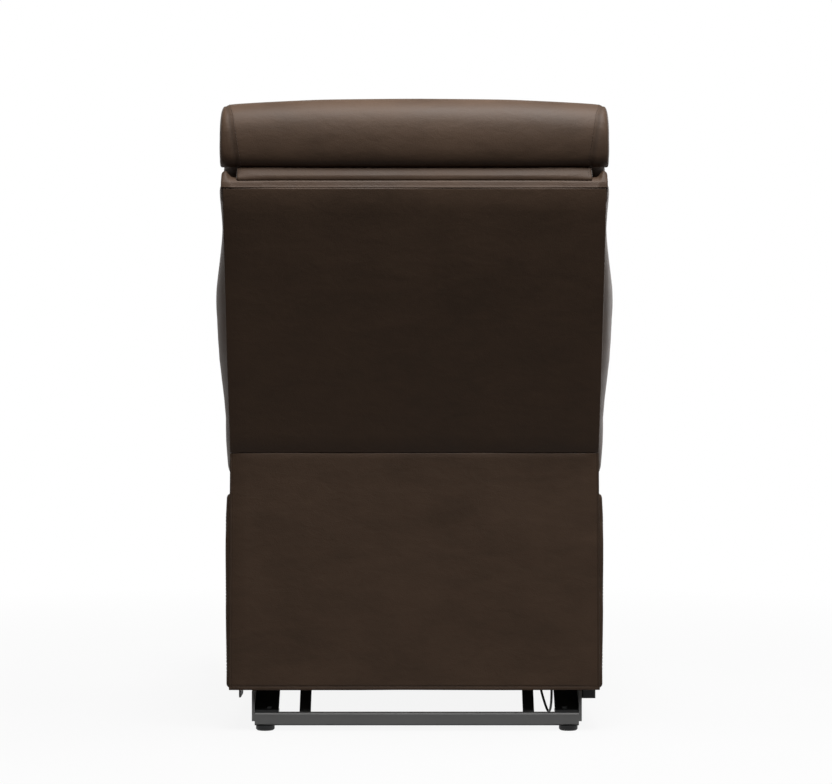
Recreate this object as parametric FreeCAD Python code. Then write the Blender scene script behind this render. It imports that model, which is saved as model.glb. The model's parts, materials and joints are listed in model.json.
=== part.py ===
import FreeCAD, Part
import math
import os

# Armless power recliner, one module of a modular sofa.
# Millimetres, +Z up. The sitter faces -Y and their left hand is on +X.
# The origin lies on the floor under the middle of the chair.

Vector = FreeCAD.Vector
X_AXIS = Vector(1, 0, 0)

# Seat box
BOX_BOTTOM = 66.0
BOX_TOP = 380.0
BOX_HALF_WIDTH = 300.5
BOX_FRONT = -400.0
FRONT_PAD = 8.0
SIDE_PAD = 20.0
SIDE_BOARD = 12.0
SIDE_CORNER = 5.0
REAR_SEAM_INSET = 1.5
SEAT_RAIL_HEIGHT = 58.0
SEAT_RAIL_THICK = 20.0
SPRING_RAIL_Y = 152.0
SPRING_RAIL_CLEARANCE = 5.3
WEBBING_THICK = 2.0
WEBBING_WIDTH = 50.0
WEBBING_STRAPS = 6
MODULE_PLATE_THICK = 2.5
MODULE_PLATE_STEP = 0.5
MODULE_PLATE_LEFT_Y = 270.0
MODULE_PLATE_RIGHT_Y = 178.0
MODULE_PLATE_LENGTH = 60.0
MODULE_PLATE_DROP = 18.0
MODULE_PLATE_HEIGHT = 90.0

# Rear panels: the lower one is a leather flap, the upper one closes the back
PANEL_INSET = 4.5
FLAP_BOTTOM_Y = 341.0
FLAP_THICK = 4.0
CREASE_Y = 321.0
CREASE_Z = 443.6
REAR_BOARD_THICK = 15.0
REAR_BOARD_DROP = 80.0
FLAP_RETURN_START = 12.0
FLAP_RETURN_TUCK = 14.0
FLAP_RETURN_DROP = 4.0
FLAP_HEEL_GAP = 2.5

# Seat cushion
SEAT_OVERHANG = 50.0
SEAT_BACK = 150.0
SEAT_SIDE_HEIGHT = 56.0
SEAT_CROWN = 24.0
SEAT_INSET = 0.5
WATERFALL_DROP = 45.0
WATERFALL_LIP = 20.5
WATERFALL_RETURN = 12.0

# Back
BACK_LEAN = 16.0
BACK_LENGTH = 432.0
BACK_PANEL_THICK = 20.0
BACK_RECLINE = 30.0
BACK_PIVOT_Y = 215.0
BACK_PIVOT_RISE = 15.0
BACK_CRANK = 100.0
BACK_ARM_THICK = 4.0
BACK_ARM_FLANGE = 34.0
BACK_ARM_REACH = 122.0
BACK_ARM_FOOT = 20.0
BACK_BOSS_RADIUS = 15.0
CRANK_BOSS_RADIUS = 13.0
BACK_HINGE_THICK = 3.0
BACK_FRONT_CLEARANCE = 1.0
HEEL_CLEARANCE = 8.0
SOFT_CLEARANCE = 0.3
TOP_EDGE_HEIGHT = 24.0
TOP_EDGE_THICK = 30.0
TOP_EDGE_RIDGE = 18.0
TOP_EDGE_RISE = 8.4
EAR_WIDTH = 18.5
EAR_FOOT = 3.0
EAR_RISE = 10.2
EAR_SECTIONS = 7

# Slices of the back cushion: height up the back, swell of each side beyond the rear panel, depth
BACK_SECTIONS = [(-110, 3.5, 178), (-40, 3.5, 180), (30, 8, 184), (110, 11.5, 190),
                 (180, 18, 190), (230, 21, 184), (290, 13, 166), (335, 6, 150),
                 (BACK_LENGTH - 2, 6, 140)]

# Headrest
HEADREST_PIVOT_FORWARD = 135.0
HEADREST_PIVOT_DROP = 36.9
HEADREST_TILT = 35.0
HEADREST_NOSE = 26.0
HEADREST_RISE = 138.1
HEADREST_REAR = 9.9
HEADREST_CHIN = 38.0
HEADREST_NECK = 38.1
HEADREST_OVERHANG = 4.5
HEADREST_HINGE_X = 155.0
HEADREST_PLATE = 4.0
HEADREST_BOARD_THICK = 10.9
HINGE_SLOT = 16.0
HINGE_BOSS_RADIUS = 12.0
SKIRT_GAP = 0.7
SKIRT_HEIGHT = 24.0
SKIRT_REAR = 13.0
SKIRT_DEPTH = 27.0

# Base, which sits a little to the sitter's right of the seat box
BASE_SHIFT = -3.8
BASE_PLATE_GAP = 4.7
BASE_PLATE_THICK = 4.5
CROSSBAR = 20.0
CROSSBAR_WALL = 1.8
CROSSBAR_BOTTOM = 8.0
CROSSBAR_CORNER = 3.0
REAR_FOOT_INSET = 20.0
FRONT_FOOT_Y = -230.0
FOOT_INSET = 21.0
FOOT_RADIUS = 15.0
FOOT_CHAMFER = 2.0
BASE_PLATE_LIFT = 7.0
BASE_PLATE_HEEL_GAP = 2.5
BASE_PLATE_CREST = 152.0
BASE_PLATE_NOSE = 40.0
BASE_RIVET_Y = 180.0
BASE_RIVET_Z = 137.0
BASE_RIVET_PITCH = 100.0
BASE_RIVET_COUNT = 3
REAR_RIVET_DROP = 10.0
REAR_RIVET_INSET = 13.6
STRUT_WIDTH = 38.0
STRUT_FLANGE = 22.0
STRUT_OFFSET = 6.0
STRUT_BOLT_RADIUS = 6.0
STRUT_THICK = 4.0
STRUT_TOP_Y = 210.0
STRUT_TOP_Z = 122.0
INNER_STRUT_X = 179.0
INNER_STRUT_WIDTH = 18.0
INNER_STRUT_THICK = 5.0

# Footrest linkage, drawn in the plane of u (forward, so u = -y) and z
MECHANISM_PLATE = 4.0
LINK_THICK = 3.5
LINK_WIDTH = 22.0
LAYER_GAP = 1.0
HEAD_GAP = 3.6
PIN_RADIUS = 4.0
PIN_HEAD_RADIUS = 7.0
PIN_HEAD = 2.4
PIN_CLEARANCE = 0.2
FOOTREST_SWING = 100.0
FRONT_PIVOT_Z = 290.0
FRONT_LINK = 185.0
FRONT_LINK_START = -122.0
FRONT_LINK_TAIL = 55.0
TAIL_START = -110.0
UPPER_LINK_SLOPE = 20.0
PIVOT_SPACING = 85.0
BRACKET_PIVOT_SETBACK = 14.0
BRACKET_PIVOT_Z = 240.0
BRACKET_FLANGE = 21.0
MOUNT_BOLT_SETBACK = 38.3
MOUNT_BOLT_PITCH = 117.0
MOUNT_BOLT_RISE = 5.0
MOUNT_BOLT_COUNT = 3
MECHANISM_REAR = 215.0
MECHANISM_BOTTOM = 120.0
MECHANISM_TAIL_TOP = 222.0
MECHANISM_MARGIN = 26.0
MECHANISM_TOP_MARGIN = 22.0
MECHANISM_CORNER = 12.0
PLATE_HOLES = [(120.0, 190.0), (10.0, 190.0), (-10.0, 245.0)]
PLATE_HOLE_RADIUS = 17.0

# Footrest board and pad, stowed upright across the front
BOARD_RECESS = 2.0
BOARD_THICK = 12.0
BOARD_MARGIN = 5.5
BOARD_SIDE_GAP = 1.5
BOARD_CORNER = 10.0
PAD_THICK = 36.0
PAD_INSET = 4.5
PAD_LIFT = 20.0
PAD_GAP = 4.0
PAD_SHOULDER = 14.0
PAD_SHOULDER_DROP = 6.0
PAD_REAR_INSET = 5.0

# Drive
TUBE_RADIUS = 9.5
LEG_CRANK = 78.0
MOTOR_RAIL = 25.0
LEG_RAIL_Y = 185.0
BACK_RAIL_Y = 60.0
LEG_ACTUATOR_X = 62.0
BACK_ACTUATOR_X = -66.0
ACTUATOR_WIDTH = 40.0
ACTUATOR_HEIGHT = 36.0
ROD_RADIUS = 8.0
ROD_CLEARANCE = 0.4
FORK_WALL = 6.0
FORK_WIDTH = 22.0
FORK_SLACK = 4.2
ROD_STANDOFF = 4.0
ROD_OVERLAP = 12.0
RAIL_TO_ACTUATOR = 6.0
BACK_ACTUATOR_LENGTH = 190.0
ACTUATOR_CORNER = 6.0
BORE_END = 14.0
MOTOR_RADIUS = 27.0
MOTOR_LENGTH = 70.0
MOTOR_RISE = 9.0
MOTOR_SINK = 4.0
MOTOR_CAP_STEP = 5.0
MOTOR_CAP = 8.0

# Controls and cable
PANEL_Y = -120.0
PANEL_Z = 320.0
PANEL_LENGTH = 104.0
PANEL_HEIGHT = 32.0
PANEL_THICK = 6.0
PANEL_PROUD = 0.8
BUTTON_RADIUS = 8.0
BUTTON_PITCH = 23.0
BUTTON_PROUD = 2.0
BUTTON_TRAVEL = 1.5
BUTTON_CLEARANCE = 0.3
BUTTON_COUNT = 4
BUTTON_DEPTH = 4.0
BUTTON_CHAMFER = 1.0
PANEL_CORNER = 7.0
CONTROL_BOX_GAP = 0.4
CONTROL_BOX_WIDTH = 22.6
CONTROL_BOX_LENGTH = 58.0
CONTROL_BOX_HEIGHT = 20.0
CONTROL_BOX_Y = 230.0
CLIP_HALF = 6.0
CLIP_HEIGHT = 12.0
CLIP_DEPTH = 7.0
CABLE_RADIUS = 2.0
CABLE_POINTS = [(-203, 196, 147), (-203, 196, 120), (-204, 202, 88), (-207, 214, 56),
                (-214, 229, 30), (-219, 249, 17), (-221.5, 267, 26), (-222.5, 278, 45),
                (-222.5, 278, 66)]

# Places that follow from the sizes above
SIDE_OUTER = BOX_HALF_WIDTH - SIDE_PAD
SIDE_INNER = SIDE_OUTER - SIDE_BOARD
BOARD_FRONT = BOX_FRONT + FRONT_PAD
PANEL_HALF_WIDTH = BOX_HALF_WIDTH - PANEL_INSET
SEAT_HALF_WIDTH = BOX_HALF_WIDTH - SEAT_INSET
SEAT_FRONT = BOX_FRONT - SEAT_OVERHANG
WATERFALL_BOTTOM = BOX_TOP - WATERFALL_DROP
RAIL_TOP = BOX_TOP - WEBBING_THICK
REAR_BOARD_TOP = BOX_TOP - REAR_BOARD_DROP
BACK_PIVOT_Z = BOX_TOP + BACK_PIVOT_RISE
LEAN = math.radians(BACK_LEAN)
BACK_TOP_Y = CREASE_Y + BACK_LENGTH * math.sin(LEAN)
BACK_TOP_Z = CREASE_Z + BACK_LENGTH * math.cos(LEAN)
HEADREST_PIVOT_Y = BACK_TOP_Y - HEADREST_PIVOT_FORWARD
HEADREST_PIVOT_Z = BACK_TOP_Z - HEADREST_PIVOT_DROP
HEADREST_HALF_WIDTH = BOX_HALF_WIDTH + HEADREST_OVERHANG
HEADREST_UNDER = BACK_TOP_Z + HEADREST_NECK
SKIRT_HALF_WIDTH = PANEL_HALF_WIDTH - EAR_WIDTH - SKIRT_GAP
FLAP_HEIGHT = CREASE_Z - BOX_BOTTOM
FLAP_RUN = FLAP_BOTTOM_Y - CREASE_Y
REAR_FOOT_Y = FLAP_BOTTOM_Y - REAR_FOOT_INSET
BASE_PLATE_OUTER = SIDE_INNER - BASE_PLATE_GAP
FOOT_X = BASE_PLATE_OUTER - FOOT_INSET
PLATE_OUTER = BASE_PLATE_OUTER - BASE_PLATE_THICK
PLATE_INNER = PLATE_OUTER - MECHANISM_PLATE
LAYER_1_OUTER = PLATE_INNER - HEAD_GAP
LAYER_1_INNER = LAYER_1_OUTER - LINK_THICK
LAYER_2_OUTER = LAYER_1_INNER - LAYER_GAP
LAYER_2_INNER = LAYER_2_OUTER - LINK_THICK
BOARD_HALF_WIDTH = SIDE_OUTER - BOARD_SIDE_GAP
PAD_HALF_WIDTH = BOX_HALF_WIDTH - PAD_INSET
PAD_TOP = WATERFALL_BOTTOM - PAD_GAP
PAD_BOTTOM = BOX_BOTTOM + PAD_LIFT
BOARD_TOP = PAD_TOP - BOARD_MARGIN
BOARD_BOTTOM = PAD_BOTTOM + BOARD_MARGIN
BOARD_BACK_U = -BOX_FRONT - BOARD_RECESS
BRACKET_PIVOT_U = BOARD_BACK_U - BRACKET_PIVOT_SETBACK
CONTROL_BOX_INNER = BASE_PLATE_OUTER - BASE_SHIFT + PIN_HEAD + CONTROL_BOX_GAP
SIDES = {"left": 1, "right": -1}
MODULE_PLATE_Y = {"left": MODULE_PLATE_LEFT_Y, "right": MODULE_PLATE_RIGHT_Y}

# Half spaces for cuts reach this far, beyond anything in the chair
FAR = 2000.0


def polar(origin, length, degrees):
    """Point in the (u, z) plane at a length and an angle from another."""
    angle = math.radians(degrees)
    return (origin[0] + length * math.cos(angle), origin[1] + length * math.sin(angle))


def in_back(y, z):
    """The (-t, s) place in the back's own frame of a (y, z) point of the chair."""
    dy = y - CREASE_Y
    dz = z - CREASE_Z
    return (dy * math.cos(LEAN) - dz * math.sin(LEAN), dy * math.sin(LEAN) + dz * math.cos(LEAN))


def strut_face_y(z):
    """Y of the rear strut's rear face at a height."""
    foot_y = REAR_FOOT_Y + STRUT_OFFSET
    foot_z = CROSSBAR_BOTTOM + CROSSBAR
    return foot_y - (z - foot_z) * (foot_y - STRUT_TOP_Y) / (STRUT_TOP_Z - foot_z)


# Pivots of the footrest linkage when it is stowed. Both loops are parallelograms,
# so the upper and lower links only travel while the front link and bracket turn.
PIVOT_F = (BRACKET_PIVOT_U, BRACKET_PIVOT_Z)
CROSS_Z = FRONT_PIVOT_Z + FRONT_LINK * math.sin(math.radians(FRONT_LINK_START))
UPPER_LINK = (BRACKET_PIVOT_Z - CROSS_Z) / math.sin(math.radians(UPPER_LINK_SLOPE))
PIVOT_X = polar(PIVOT_F, -UPPER_LINK, UPPER_LINK_SLOPE)
PIVOT_A = polar(PIVOT_X, -FRONT_LINK, FRONT_LINK_START)
PIVOT_B = polar(PIVOT_A, -PIVOT_SPACING, UPPER_LINK_SLOPE)
PIVOT_C = polar(PIVOT_X, -PIVOT_SPACING, UPPER_LINK_SLOPE)
PIVOT_E = polar(PIVOT_X, FRONT_LINK_TAIL, TAIL_START)
PIVOT_G = polar(PIVOT_F, FRONT_LINK_TAIL, TAIL_START)

# Fasteners of the base and the mechanism plates, as (y, z)
BASE_RIVETS = [(BASE_RIVET_Y - BASE_RIVET_PITCH * index, BASE_RIVET_Z)
               for index in range(BASE_RIVET_COUNT)]
REAR_RIVET_Z = BOX_BOTTOM - REAR_RIVET_DROP
REAR_RIVET = (strut_face_y(REAR_RIVET_Z) - REAR_RIVET_INSET, REAR_RIVET_Z)
MOUNT_BOLTS = [(-PIVOT_A[0] + MOUNT_BOLT_SETBACK + MOUNT_BOLT_PITCH * index,
                FRONT_PIVOT_Z + MOUNT_BOLT_RISE) for index in range(MOUNT_BOLT_COUNT)]

# The drive tube swings evenly to both sides of straight below pivot B
HALF_SWING = math.radians(FOOTREST_SWING / 2)
TUBE_STOWED = polar(PIVOT_B, LEG_CRANK, -90 - FOOTREST_SWING / 2)
LEG_ROD_Z = PIVOT_B[1] - LEG_CRANK * (1 + math.cos(HALF_SWING)) / 2
LEG_STROKE = 2 * LEG_CRANK * math.sin(HALF_SWING)
LEG_RAIL_Z = LEG_ROD_Z - ACTUATOR_HEIGHT / 2 - MOTOR_RAIL / 2
FORK_END = TUBE_RADIUS + FORK_SLACK + FORK_WALL
LEG_MOUTH_Y = -TUBE_STOWED[0] + FORK_END + ROD_STANDOFF
LEG_TAIL_Y = LEG_RAIL_Y + MOTOR_RAIL / 2 + RAIL_TO_ACTUATOR

# The back's crank tube swings evenly to both sides of straight below its pivot
HALF_RECLINE = math.radians(BACK_RECLINE / 2)
CRANK_TUBE_Y = BACK_PIVOT_Y + BACK_CRANK * math.sin(HALF_RECLINE)
CRANK_TUBE_Z = BACK_PIVOT_Z - BACK_CRANK * math.cos(HALF_RECLINE)
BACK_ROD_Z = BACK_PIVOT_Z - BACK_CRANK * (1 + math.cos(HALF_RECLINE)) / 2
BACK_STROKE = 2 * BACK_CRANK * math.sin(HALF_RECLINE)
BACK_RAIL_Z = BACK_ROD_Z - ACTUATOR_HEIGHT / 2 - MOTOR_RAIL / 2
BACK_MOUTH_Y = CRANK_TUBE_Y - BACK_STROKE - FORK_END - ROD_STANDOFF
BACK_TAIL_Y = BACK_MOUTH_Y - BACK_ACTUATOR_LENGTH

# Pivots of the back and headrest in the back's own frame
PIVOT_T, PIVOT_S = in_back(BACK_PIVOT_Y, BACK_PIVOT_Z)
CRANK_T, CRANK_S = in_back(CRANK_TUBE_Y, CRANK_TUBE_Z)
HINGE_T, HINGE_S = in_back(HEADREST_PIVOT_Y, HEADREST_PIVOT_Z)


def slab(x0, x1, y0, y1, z0, z1):
    """Box between two corners."""
    return Part.makeBox(x1 - x0, y1 - y0, z1 - z0, Vector(x0, y0, z0))


def prism(x0, x1, points):
    """Plate with a straight-sided (y, z) outline between two x planes."""
    corners = [Vector(x0, y, z) for y, z in points]
    outline = Part.makePolygon(corners + corners[:1])
    return Part.Face(outline).extrude(Vector(x1 - x0, 0, 0))


def disc(x0, x1, y, z, radius):
    """Cylinder along X."""
    return Part.makeCylinder(radius, x1 - x0, Vector(x0, y, z), X_AXIS)


def span(side, inner, outer, shift=0.0):
    """The two x planes of something at a distance from the middle, in order."""
    return sorted((shift + side * inner, shift + side * outer))


def edges_along(shape, axis):
    """Straight edges parallel to an axis."""
    found = []
    for edge in shape.Edges:
        if isinstance(edge.Curve, Part.Line):
            run = edge.Vertexes[-1].Point - edge.Vertexes[0].Point
            if run.Length > 1e-6 and run.getAngle(axis) % math.pi < 1e-4:
                found.append(edge)
    return found


def rounded(shape, axis, radius):
    """The shape with its edges along an axis rounded."""
    return shape.makeFillet(radius, edges_along(shape, axis))


def arc(start, middle, end):
    return Part.Arc(start, middle, end).toShape()


def line(start, end):
    return Part.LineSegment(start, end).toShape()


# Base

def crossbar(y):
    """Square tube that lies across between the base plates."""
    x0, x1 = span(1, -PLATE_OUTER, PLATE_OUTER, BASE_SHIFT)
    half = CROSSBAR / 2
    top = CROSSBAR_BOTTOM + CROSSBAR
    outside = slab(x0, x1, y - half, y + half, CROSSBAR_BOTTOM, top)
    outside = rounded(outside, X_AXIS, CROSSBAR_CORNER)
    bore = half - CROSSBAR_WALL
    middle = CROSSBAR_BOTTOM + half
    return outside.cut(slab(x0, x1, y - bore, y + bore, middle - bore, middle + bore))


def base_plate(side):
    """Upright side plate from the rear crossbar to the front one."""
    rear = REAR_FOOT_Y + CROSSBAR / 2
    front = FRONT_FOOT_Y - CROSSBAR / 2
    low = CROSSBAR_BOTTOM + BASE_PLATE_LIFT
    under_board = BOX_BOTTOM - BASE_PLATE_HEEL_GAP
    crest = BASE_PLATE_CREST
    outline = [(rear, low), (rear, under_board), (rear - 20, under_board),
               (rear - 30, crest - 40), (rear - 44, crest - 24), (STRUT_TOP_Y - 40, crest),
               (-40, crest), (-110, BASE_PLATE_NOSE + 30), (front + 30, BASE_PLATE_NOSE + 6),
               (front, BASE_PLATE_NOSE), (front, low)]
    x0, x1 = span(side, PLATE_OUTER, BASE_PLATE_OUTER, BASE_SHIFT)
    plate = prism(x0, x1, outline)
    window = prism(x0, x1, [(rear - 70, 42), (rear - 112, crest - 56), (20, crest - 40),
                            (-60, 60), (-90, 42)])
    plate = plate.cut(rounded(window, X_AXIS, 9.0))
    for y, z in BASE_RIVETS + [REAR_RIVET]:
        plate = plate.cut(disc(x0, x1, y, z, PIN_RADIUS))
    return plate


def base_rivets():
    """Rivets of both sides: flush ones in the mechanism plate, one with a head near the rear."""
    solids = []
    for side in SIDES.values():
        for y, z in BASE_RIVETS:
            x0, x1 = span(side, PLATE_INNER, BASE_PLATE_OUTER, BASE_SHIFT)
            solids.append(disc(x0, x1, y, z, PIN_RADIUS))
        y, z = REAR_RIVET
        inner = PLATE_OUTER - STRUT_THICK
        x0, x1 = span(side, inner, BASE_PLATE_OUTER, BASE_SHIFT)
        h0, h1 = span(side, BASE_PLATE_OUTER, BASE_PLATE_OUTER + PIN_HEAD, BASE_SHIFT)
        rivet = disc(x0, x1, y, z, PIN_RADIUS).fuse(disc(h0, h1, y, z, PIN_HEAD_RADIUS))
        solids.append(rivet.removeSplitter())
    return Part.makeCompound(solids)


def leaning_bar(x0, x1, bottom, top, thick):
    """Flat bar between two (y, z) points, its thickness on the forward side."""
    run = math.hypot(top[0] - bottom[0], top[1] - bottom[1])
    across = ((top[1] - bottom[1]) / run * thick, -(top[0] - bottom[0]) / run * thick)
    return prism(x0, x1, [bottom, top, (top[0] - across[0], top[1] - across[1]),
                          (bottom[0] - across[0], bottom[1] - across[1])])


def rear_strut(side):
    """Sheet flange that leans forward from the rear crossbar along the base plate."""
    x0, x1 = span(side, PLATE_OUTER - STRUT_WIDTH, PLATE_OUTER, BASE_SHIFT)
    foot_y = REAR_FOOT_Y + STRUT_OFFSET
    foot_z = CROSSBAR_BOTTOM + CROSSBAR
    flange = STRUT_FLANGE
    bar = leaning_bar(x0, x1, (foot_y, foot_z), (STRUT_TOP_Y, STRUT_TOP_Z), STRUT_THICK)
    foot = slab(x0, x1, foot_y - flange, foot_y, foot_z, foot_z + STRUT_THICK)
    web_x0, web_x1 = span(side, PLATE_OUTER - STRUT_THICK, PLATE_OUTER, BASE_SHIFT)
    web = prism(web_x0, web_x1, [(foot_y - flange, foot_z), (foot_y, foot_z),
                                 (STRUT_TOP_Y, STRUT_TOP_Z), (STRUT_TOP_Y - flange, STRUT_TOP_Z)])
    web = web.cut(disc(web_x0, web_x1, REAR_RIVET[0], REAR_RIVET[1], PIN_RADIUS))
    bolt_place = Vector(BASE_SHIFT + side * (PLATE_OUTER - flange), foot_y - flange / 2 - 1,
                        foot_z + STRUT_THICK)
    bolt = Part.makeCylinder(STRUT_BOLT_RADIUS, STRUT_BOLT_RADIUS - 1, bolt_place)
    return bar.fuse([foot, web, bolt]).common(above(foot_z)).removeSplitter()


def above(z):
    return slab(-FAR, FAR, -FAR, FAR, z, FAR)


def inner_struts():
    """Two flat bars from the rear crossbar up to the leg motor's rail."""
    foot_z = CROSSBAR_BOTTOM + CROSSBAR
    top = (LEG_RAIL_Y + MOTOR_RAIL / 2, LEG_RAIL_Z)
    half = INNER_STRUT_WIDTH / 2
    bars = []
    rear_of_rail = slab(-FAR, FAR, LEG_RAIL_Y + MOTOR_RAIL / 2, FAR, foot_z, FAR)
    for side in SIDES.values():
        middle = BASE_SHIFT + side * INNER_STRUT_X
        foot = (REAR_FOOT_Y + STRUT_OFFSET, foot_z - STRUT_THICK)
        bar = leaning_bar(middle - half, middle + half, foot, top, INNER_STRUT_THICK)
        bars.append(bar.common(rear_of_rail))
    return Part.makeCompound(bars)


def glide_feet():
    """Four round glides with short stems into the crossbars."""
    feet = []
    for side in SIDES.values():
        for y in (REAR_FOOT_Y, FRONT_FOOT_Y):
            foot = Part.makeCylinder(FOOT_RADIUS, CROSSBAR_BOTTOM,
                                     Vector(BASE_SHIFT + side * FOOT_X, y, 0))
            rim = [edge for edge in foot.Edges if edge.BoundBox.ZMax < 0.1]
            feet.append(foot.makeChamfer(FOOT_CHAMFER, rim))
    return Part.makeCompound(feet)


# Mechanism plates and footrest links

def pin(side, inner, outer, pivot, head_inner=True, head_outer=True):
    """Rivet along X at a (u, z) pivot, with heads beyond the two given faces."""
    x0, x1 = span(side, inner, outer, BASE_SHIFT)
    shape = disc(x0, x1, -pivot[0], pivot[1], PIN_RADIUS)
    if head_inner:
        h0, h1 = span(side, inner - PIN_HEAD, inner, BASE_SHIFT)
        shape = shape.fuse(disc(h0, h1, -pivot[0], pivot[1], PIN_HEAD_RADIUS))
    if head_outer:
        h0, h1 = span(side, outer, outer + PIN_HEAD, BASE_SHIFT)
        shape = shape.fuse(disc(h0, h1, -pivot[0], pivot[1], PIN_HEAD_RADIUS))
    return shape


def collar(side, inner, outer, pivot):
    """Spacer ring, as a plain disc, round a pivot."""
    x0, x1 = span(side, inner, outer, BASE_SHIFT)
    return disc(x0, x1, -pivot[0], pivot[1], PIN_HEAD_RADIUS + 1)


def link(side, inner, pivots, holes):
    """Flat bar with round ends through (u, z) pivots, with running holes."""
    x0, x1 = span(side, inner, inner + LINK_THICK, BASE_SHIFT)
    half = LINK_WIDTH / 2
    pieces = [disc(x0, x1, -u, z, half) for u, z in pivots]
    for (u0, z0), (u1, z1) in zip(pivots, pivots[1:]):
        length = math.hypot(u1 - u0, z1 - z0)
        du = (z1 - z0) / length * half
        dz = -(u1 - u0) / length * half
        pieces.append(prism(x0, x1, [(-u0 - du, z0 + dz), (-u1 - du, z1 + dz),
                                     (-u1 + du, z1 - dz), (-u0 + du, z0 - dz)]))
    shape = pieces[0].fuse(pieces[1:])
    for u, z in holes:
        shape = shape.cut(disc(x0, x1, -u, z, PIN_RADIUS + PIN_CLEARANCE))
    return shape.removeSplitter()


def mechanism_plate(side):
    """Plate that carries both fixed pivots, with its two pins."""
    x0, x1 = span(side, PLATE_INNER, PLATE_OUTER, BASE_SHIFT)
    rear = MECHANISM_REAR
    tail_top = MECHANISM_TAIL_TOP
    top = FRONT_PIVOT_Z + MECHANISM_TOP_MARGIN
    nose = -PIVOT_A[0] - MECHANISM_MARGIN
    last_bolt = MOUNT_BOLTS[-1][0]
    outline = [(rear, MECHANISM_BOTTOM + 4), (-PIVOT_B[0] + 48, MECHANISM_BOTTOM - 2),
               (-PIVOT_B[0] - 30, PIVOT_B[1] - 56), (nose, FRONT_PIVOT_Z - 32), (nose, top),
               (last_bolt + 16, top), (last_bolt + 58, tail_top + 16), (rear, tail_top)]
    plate = rounded(prism(x0, x1, outline), X_AXIS, MECHANISM_CORNER)
    for y, z in BASE_RIVETS + MOUNT_BOLTS:
        plate = plate.cut(disc(x0, x1, y, z, PIN_RADIUS))
    for y, z in PLATE_HOLES:
        plate = plate.cut(disc(x0, x1, y, z, PLATE_HOLE_RADIUS))
    for pivot in (PIVOT_A, PIVOT_B):
        plate = plate.fuse([collar(side, LAYER_1_OUTER + PIN_CLEARANCE, PLATE_INNER, pivot),
                            pin(side, LAYER_1_INNER - PIN_CLEARANCE, PLATE_OUTER, pivot)])
    return plate.removeSplitter()


def mount_bolts():
    """Bolts with spacer sleeves between the mechanism plates and the seat's sides."""
    solids = []
    for side in SIDES.values():
        for y, z in MOUNT_BOLTS:
            plate_inner = BASE_SHIFT + side * PLATE_INNER
            plate_outer = BASE_SHIFT + side * PLATE_OUTER
            board = side * SIDE_INNER
            head = sorted((plate_inner - side * PIN_HEAD, plate_inner))
            sleeve = sorted((plate_outer, board))
            shank = sorted((plate_inner, side * SIDE_OUTER))
            bolt = disc(head[0], head[1], y, z, PIN_HEAD_RADIUS)
            bolt = bolt.fuse([disc(sleeve[0], sleeve[1], y, z, PIN_HEAD_RADIUS + 3),
                              disc(shank[0], shank[1], y, z, PIN_RADIUS)])
            solids.append(bolt.removeSplitter())
    return Part.makeCompound(solids)


def front_link(side):
    """Long bent link from pivot A through the crossing to the lower link's pivot."""
    shape = link(side, LAYER_1_INNER, [PIVOT_A, PIVOT_X, PIVOT_E], [PIVOT_A])
    inner = LAYER_2_INNER - PIN_CLEARANCE
    return shape.fuse([pin(side, inner, LAYER_1_OUTER, PIVOT_X),
                       pin(side, inner, LAYER_1_OUTER, PIVOT_E)]).removeSplitter()


def rear_link(side):
    """Bell crank: one arm carries the upper link, the other the drive tube."""
    shape = link(side, LAYER_1_INNER, [TUBE_STOWED, PIVOT_B, PIVOT_C], [PIVOT_B])
    x0, x1 = span(side, LAYER_1_INNER, LAYER_1_OUTER, BASE_SHIFT)
    middle = ((TUBE_STOWED[0] + PIVOT_C[0]) / 2, (TUBE_STOWED[1] + PIVOT_C[1]) / 2)
    gusset = prism(x0, x1, [(-PIVOT_B[0], PIVOT_B[1]), (-TUBE_STOWED[0], TUBE_STOWED[1]),
                            (-middle[0], middle[1])])
    shape = shape.fuse(gusset).cut(disc(x0, x1, -PIVOT_B[0], PIVOT_B[1],
                                        PIN_RADIUS + PIN_CLEARANCE))
    return shape.fuse(pin(side, LAYER_2_INNER - PIN_CLEARANCE, LAYER_1_OUTER,
                          PIVOT_C)).removeSplitter()


def upper_link(side):
    """Straight link that carries the footrest bracket."""
    shape = link(side, LAYER_2_INNER, [PIVOT_C, PIVOT_F], [PIVOT_C, PIVOT_X])
    return shape.fuse(pin(side, LAYER_2_INNER, LAYER_1_OUTER + PIN_CLEARANCE,
                          PIVOT_F)).removeSplitter()


def lower_links():
    """Straight links below the upper ones, one on each side."""
    bars = []
    for side in SIDES.values():
        shape = link(side, LAYER_2_INNER, [PIVOT_E, PIVOT_G], [PIVOT_E])
        bars.append(shape.fuse(pin(side, LAYER_2_INNER, LAYER_1_OUTER + PIN_CLEARANCE,
                                   PIVOT_G)).removeSplitter())
    return Part.makeCompound(bars)


def footrest_bracket(side):
    """Angle screwed to the footrest board, with the two pivot holes in its web."""
    shape = link(side, LAYER_1_INNER, [PIVOT_F, PIVOT_G], [])
    x0, x1 = span(side, LAYER_1_INNER, LAYER_1_OUTER, BASE_SHIFT)
    web = prism(x0, x1, [(-BOARD_BACK_U, PIVOT_F[1] + 26), (-PIVOT_F[0], PIVOT_F[1] + 8),
                         (-PIVOT_G[0], PIVOT_G[1] - 8), (-BOARD_BACK_U, PIVOT_G[1] - 40)])
    f0, f1 = span(side, LAYER_1_INNER, LAYER_1_INNER + BRACKET_FLANGE, BASE_SHIFT)
    flange = slab(f0, f1, -BOARD_BACK_U, -BOARD_BACK_U + LINK_THICK,
                  PIVOT_G[1] - 46, PIVOT_F[1] + 40)
    shape = shape.fuse([web, flange])
    for u, z in (PIVOT_F, PIVOT_G):
        shape = shape.cut(disc(x0, x1, -u, z, PIN_RADIUS + PIN_CLEARANCE))
    return shape.removeSplitter()


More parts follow.
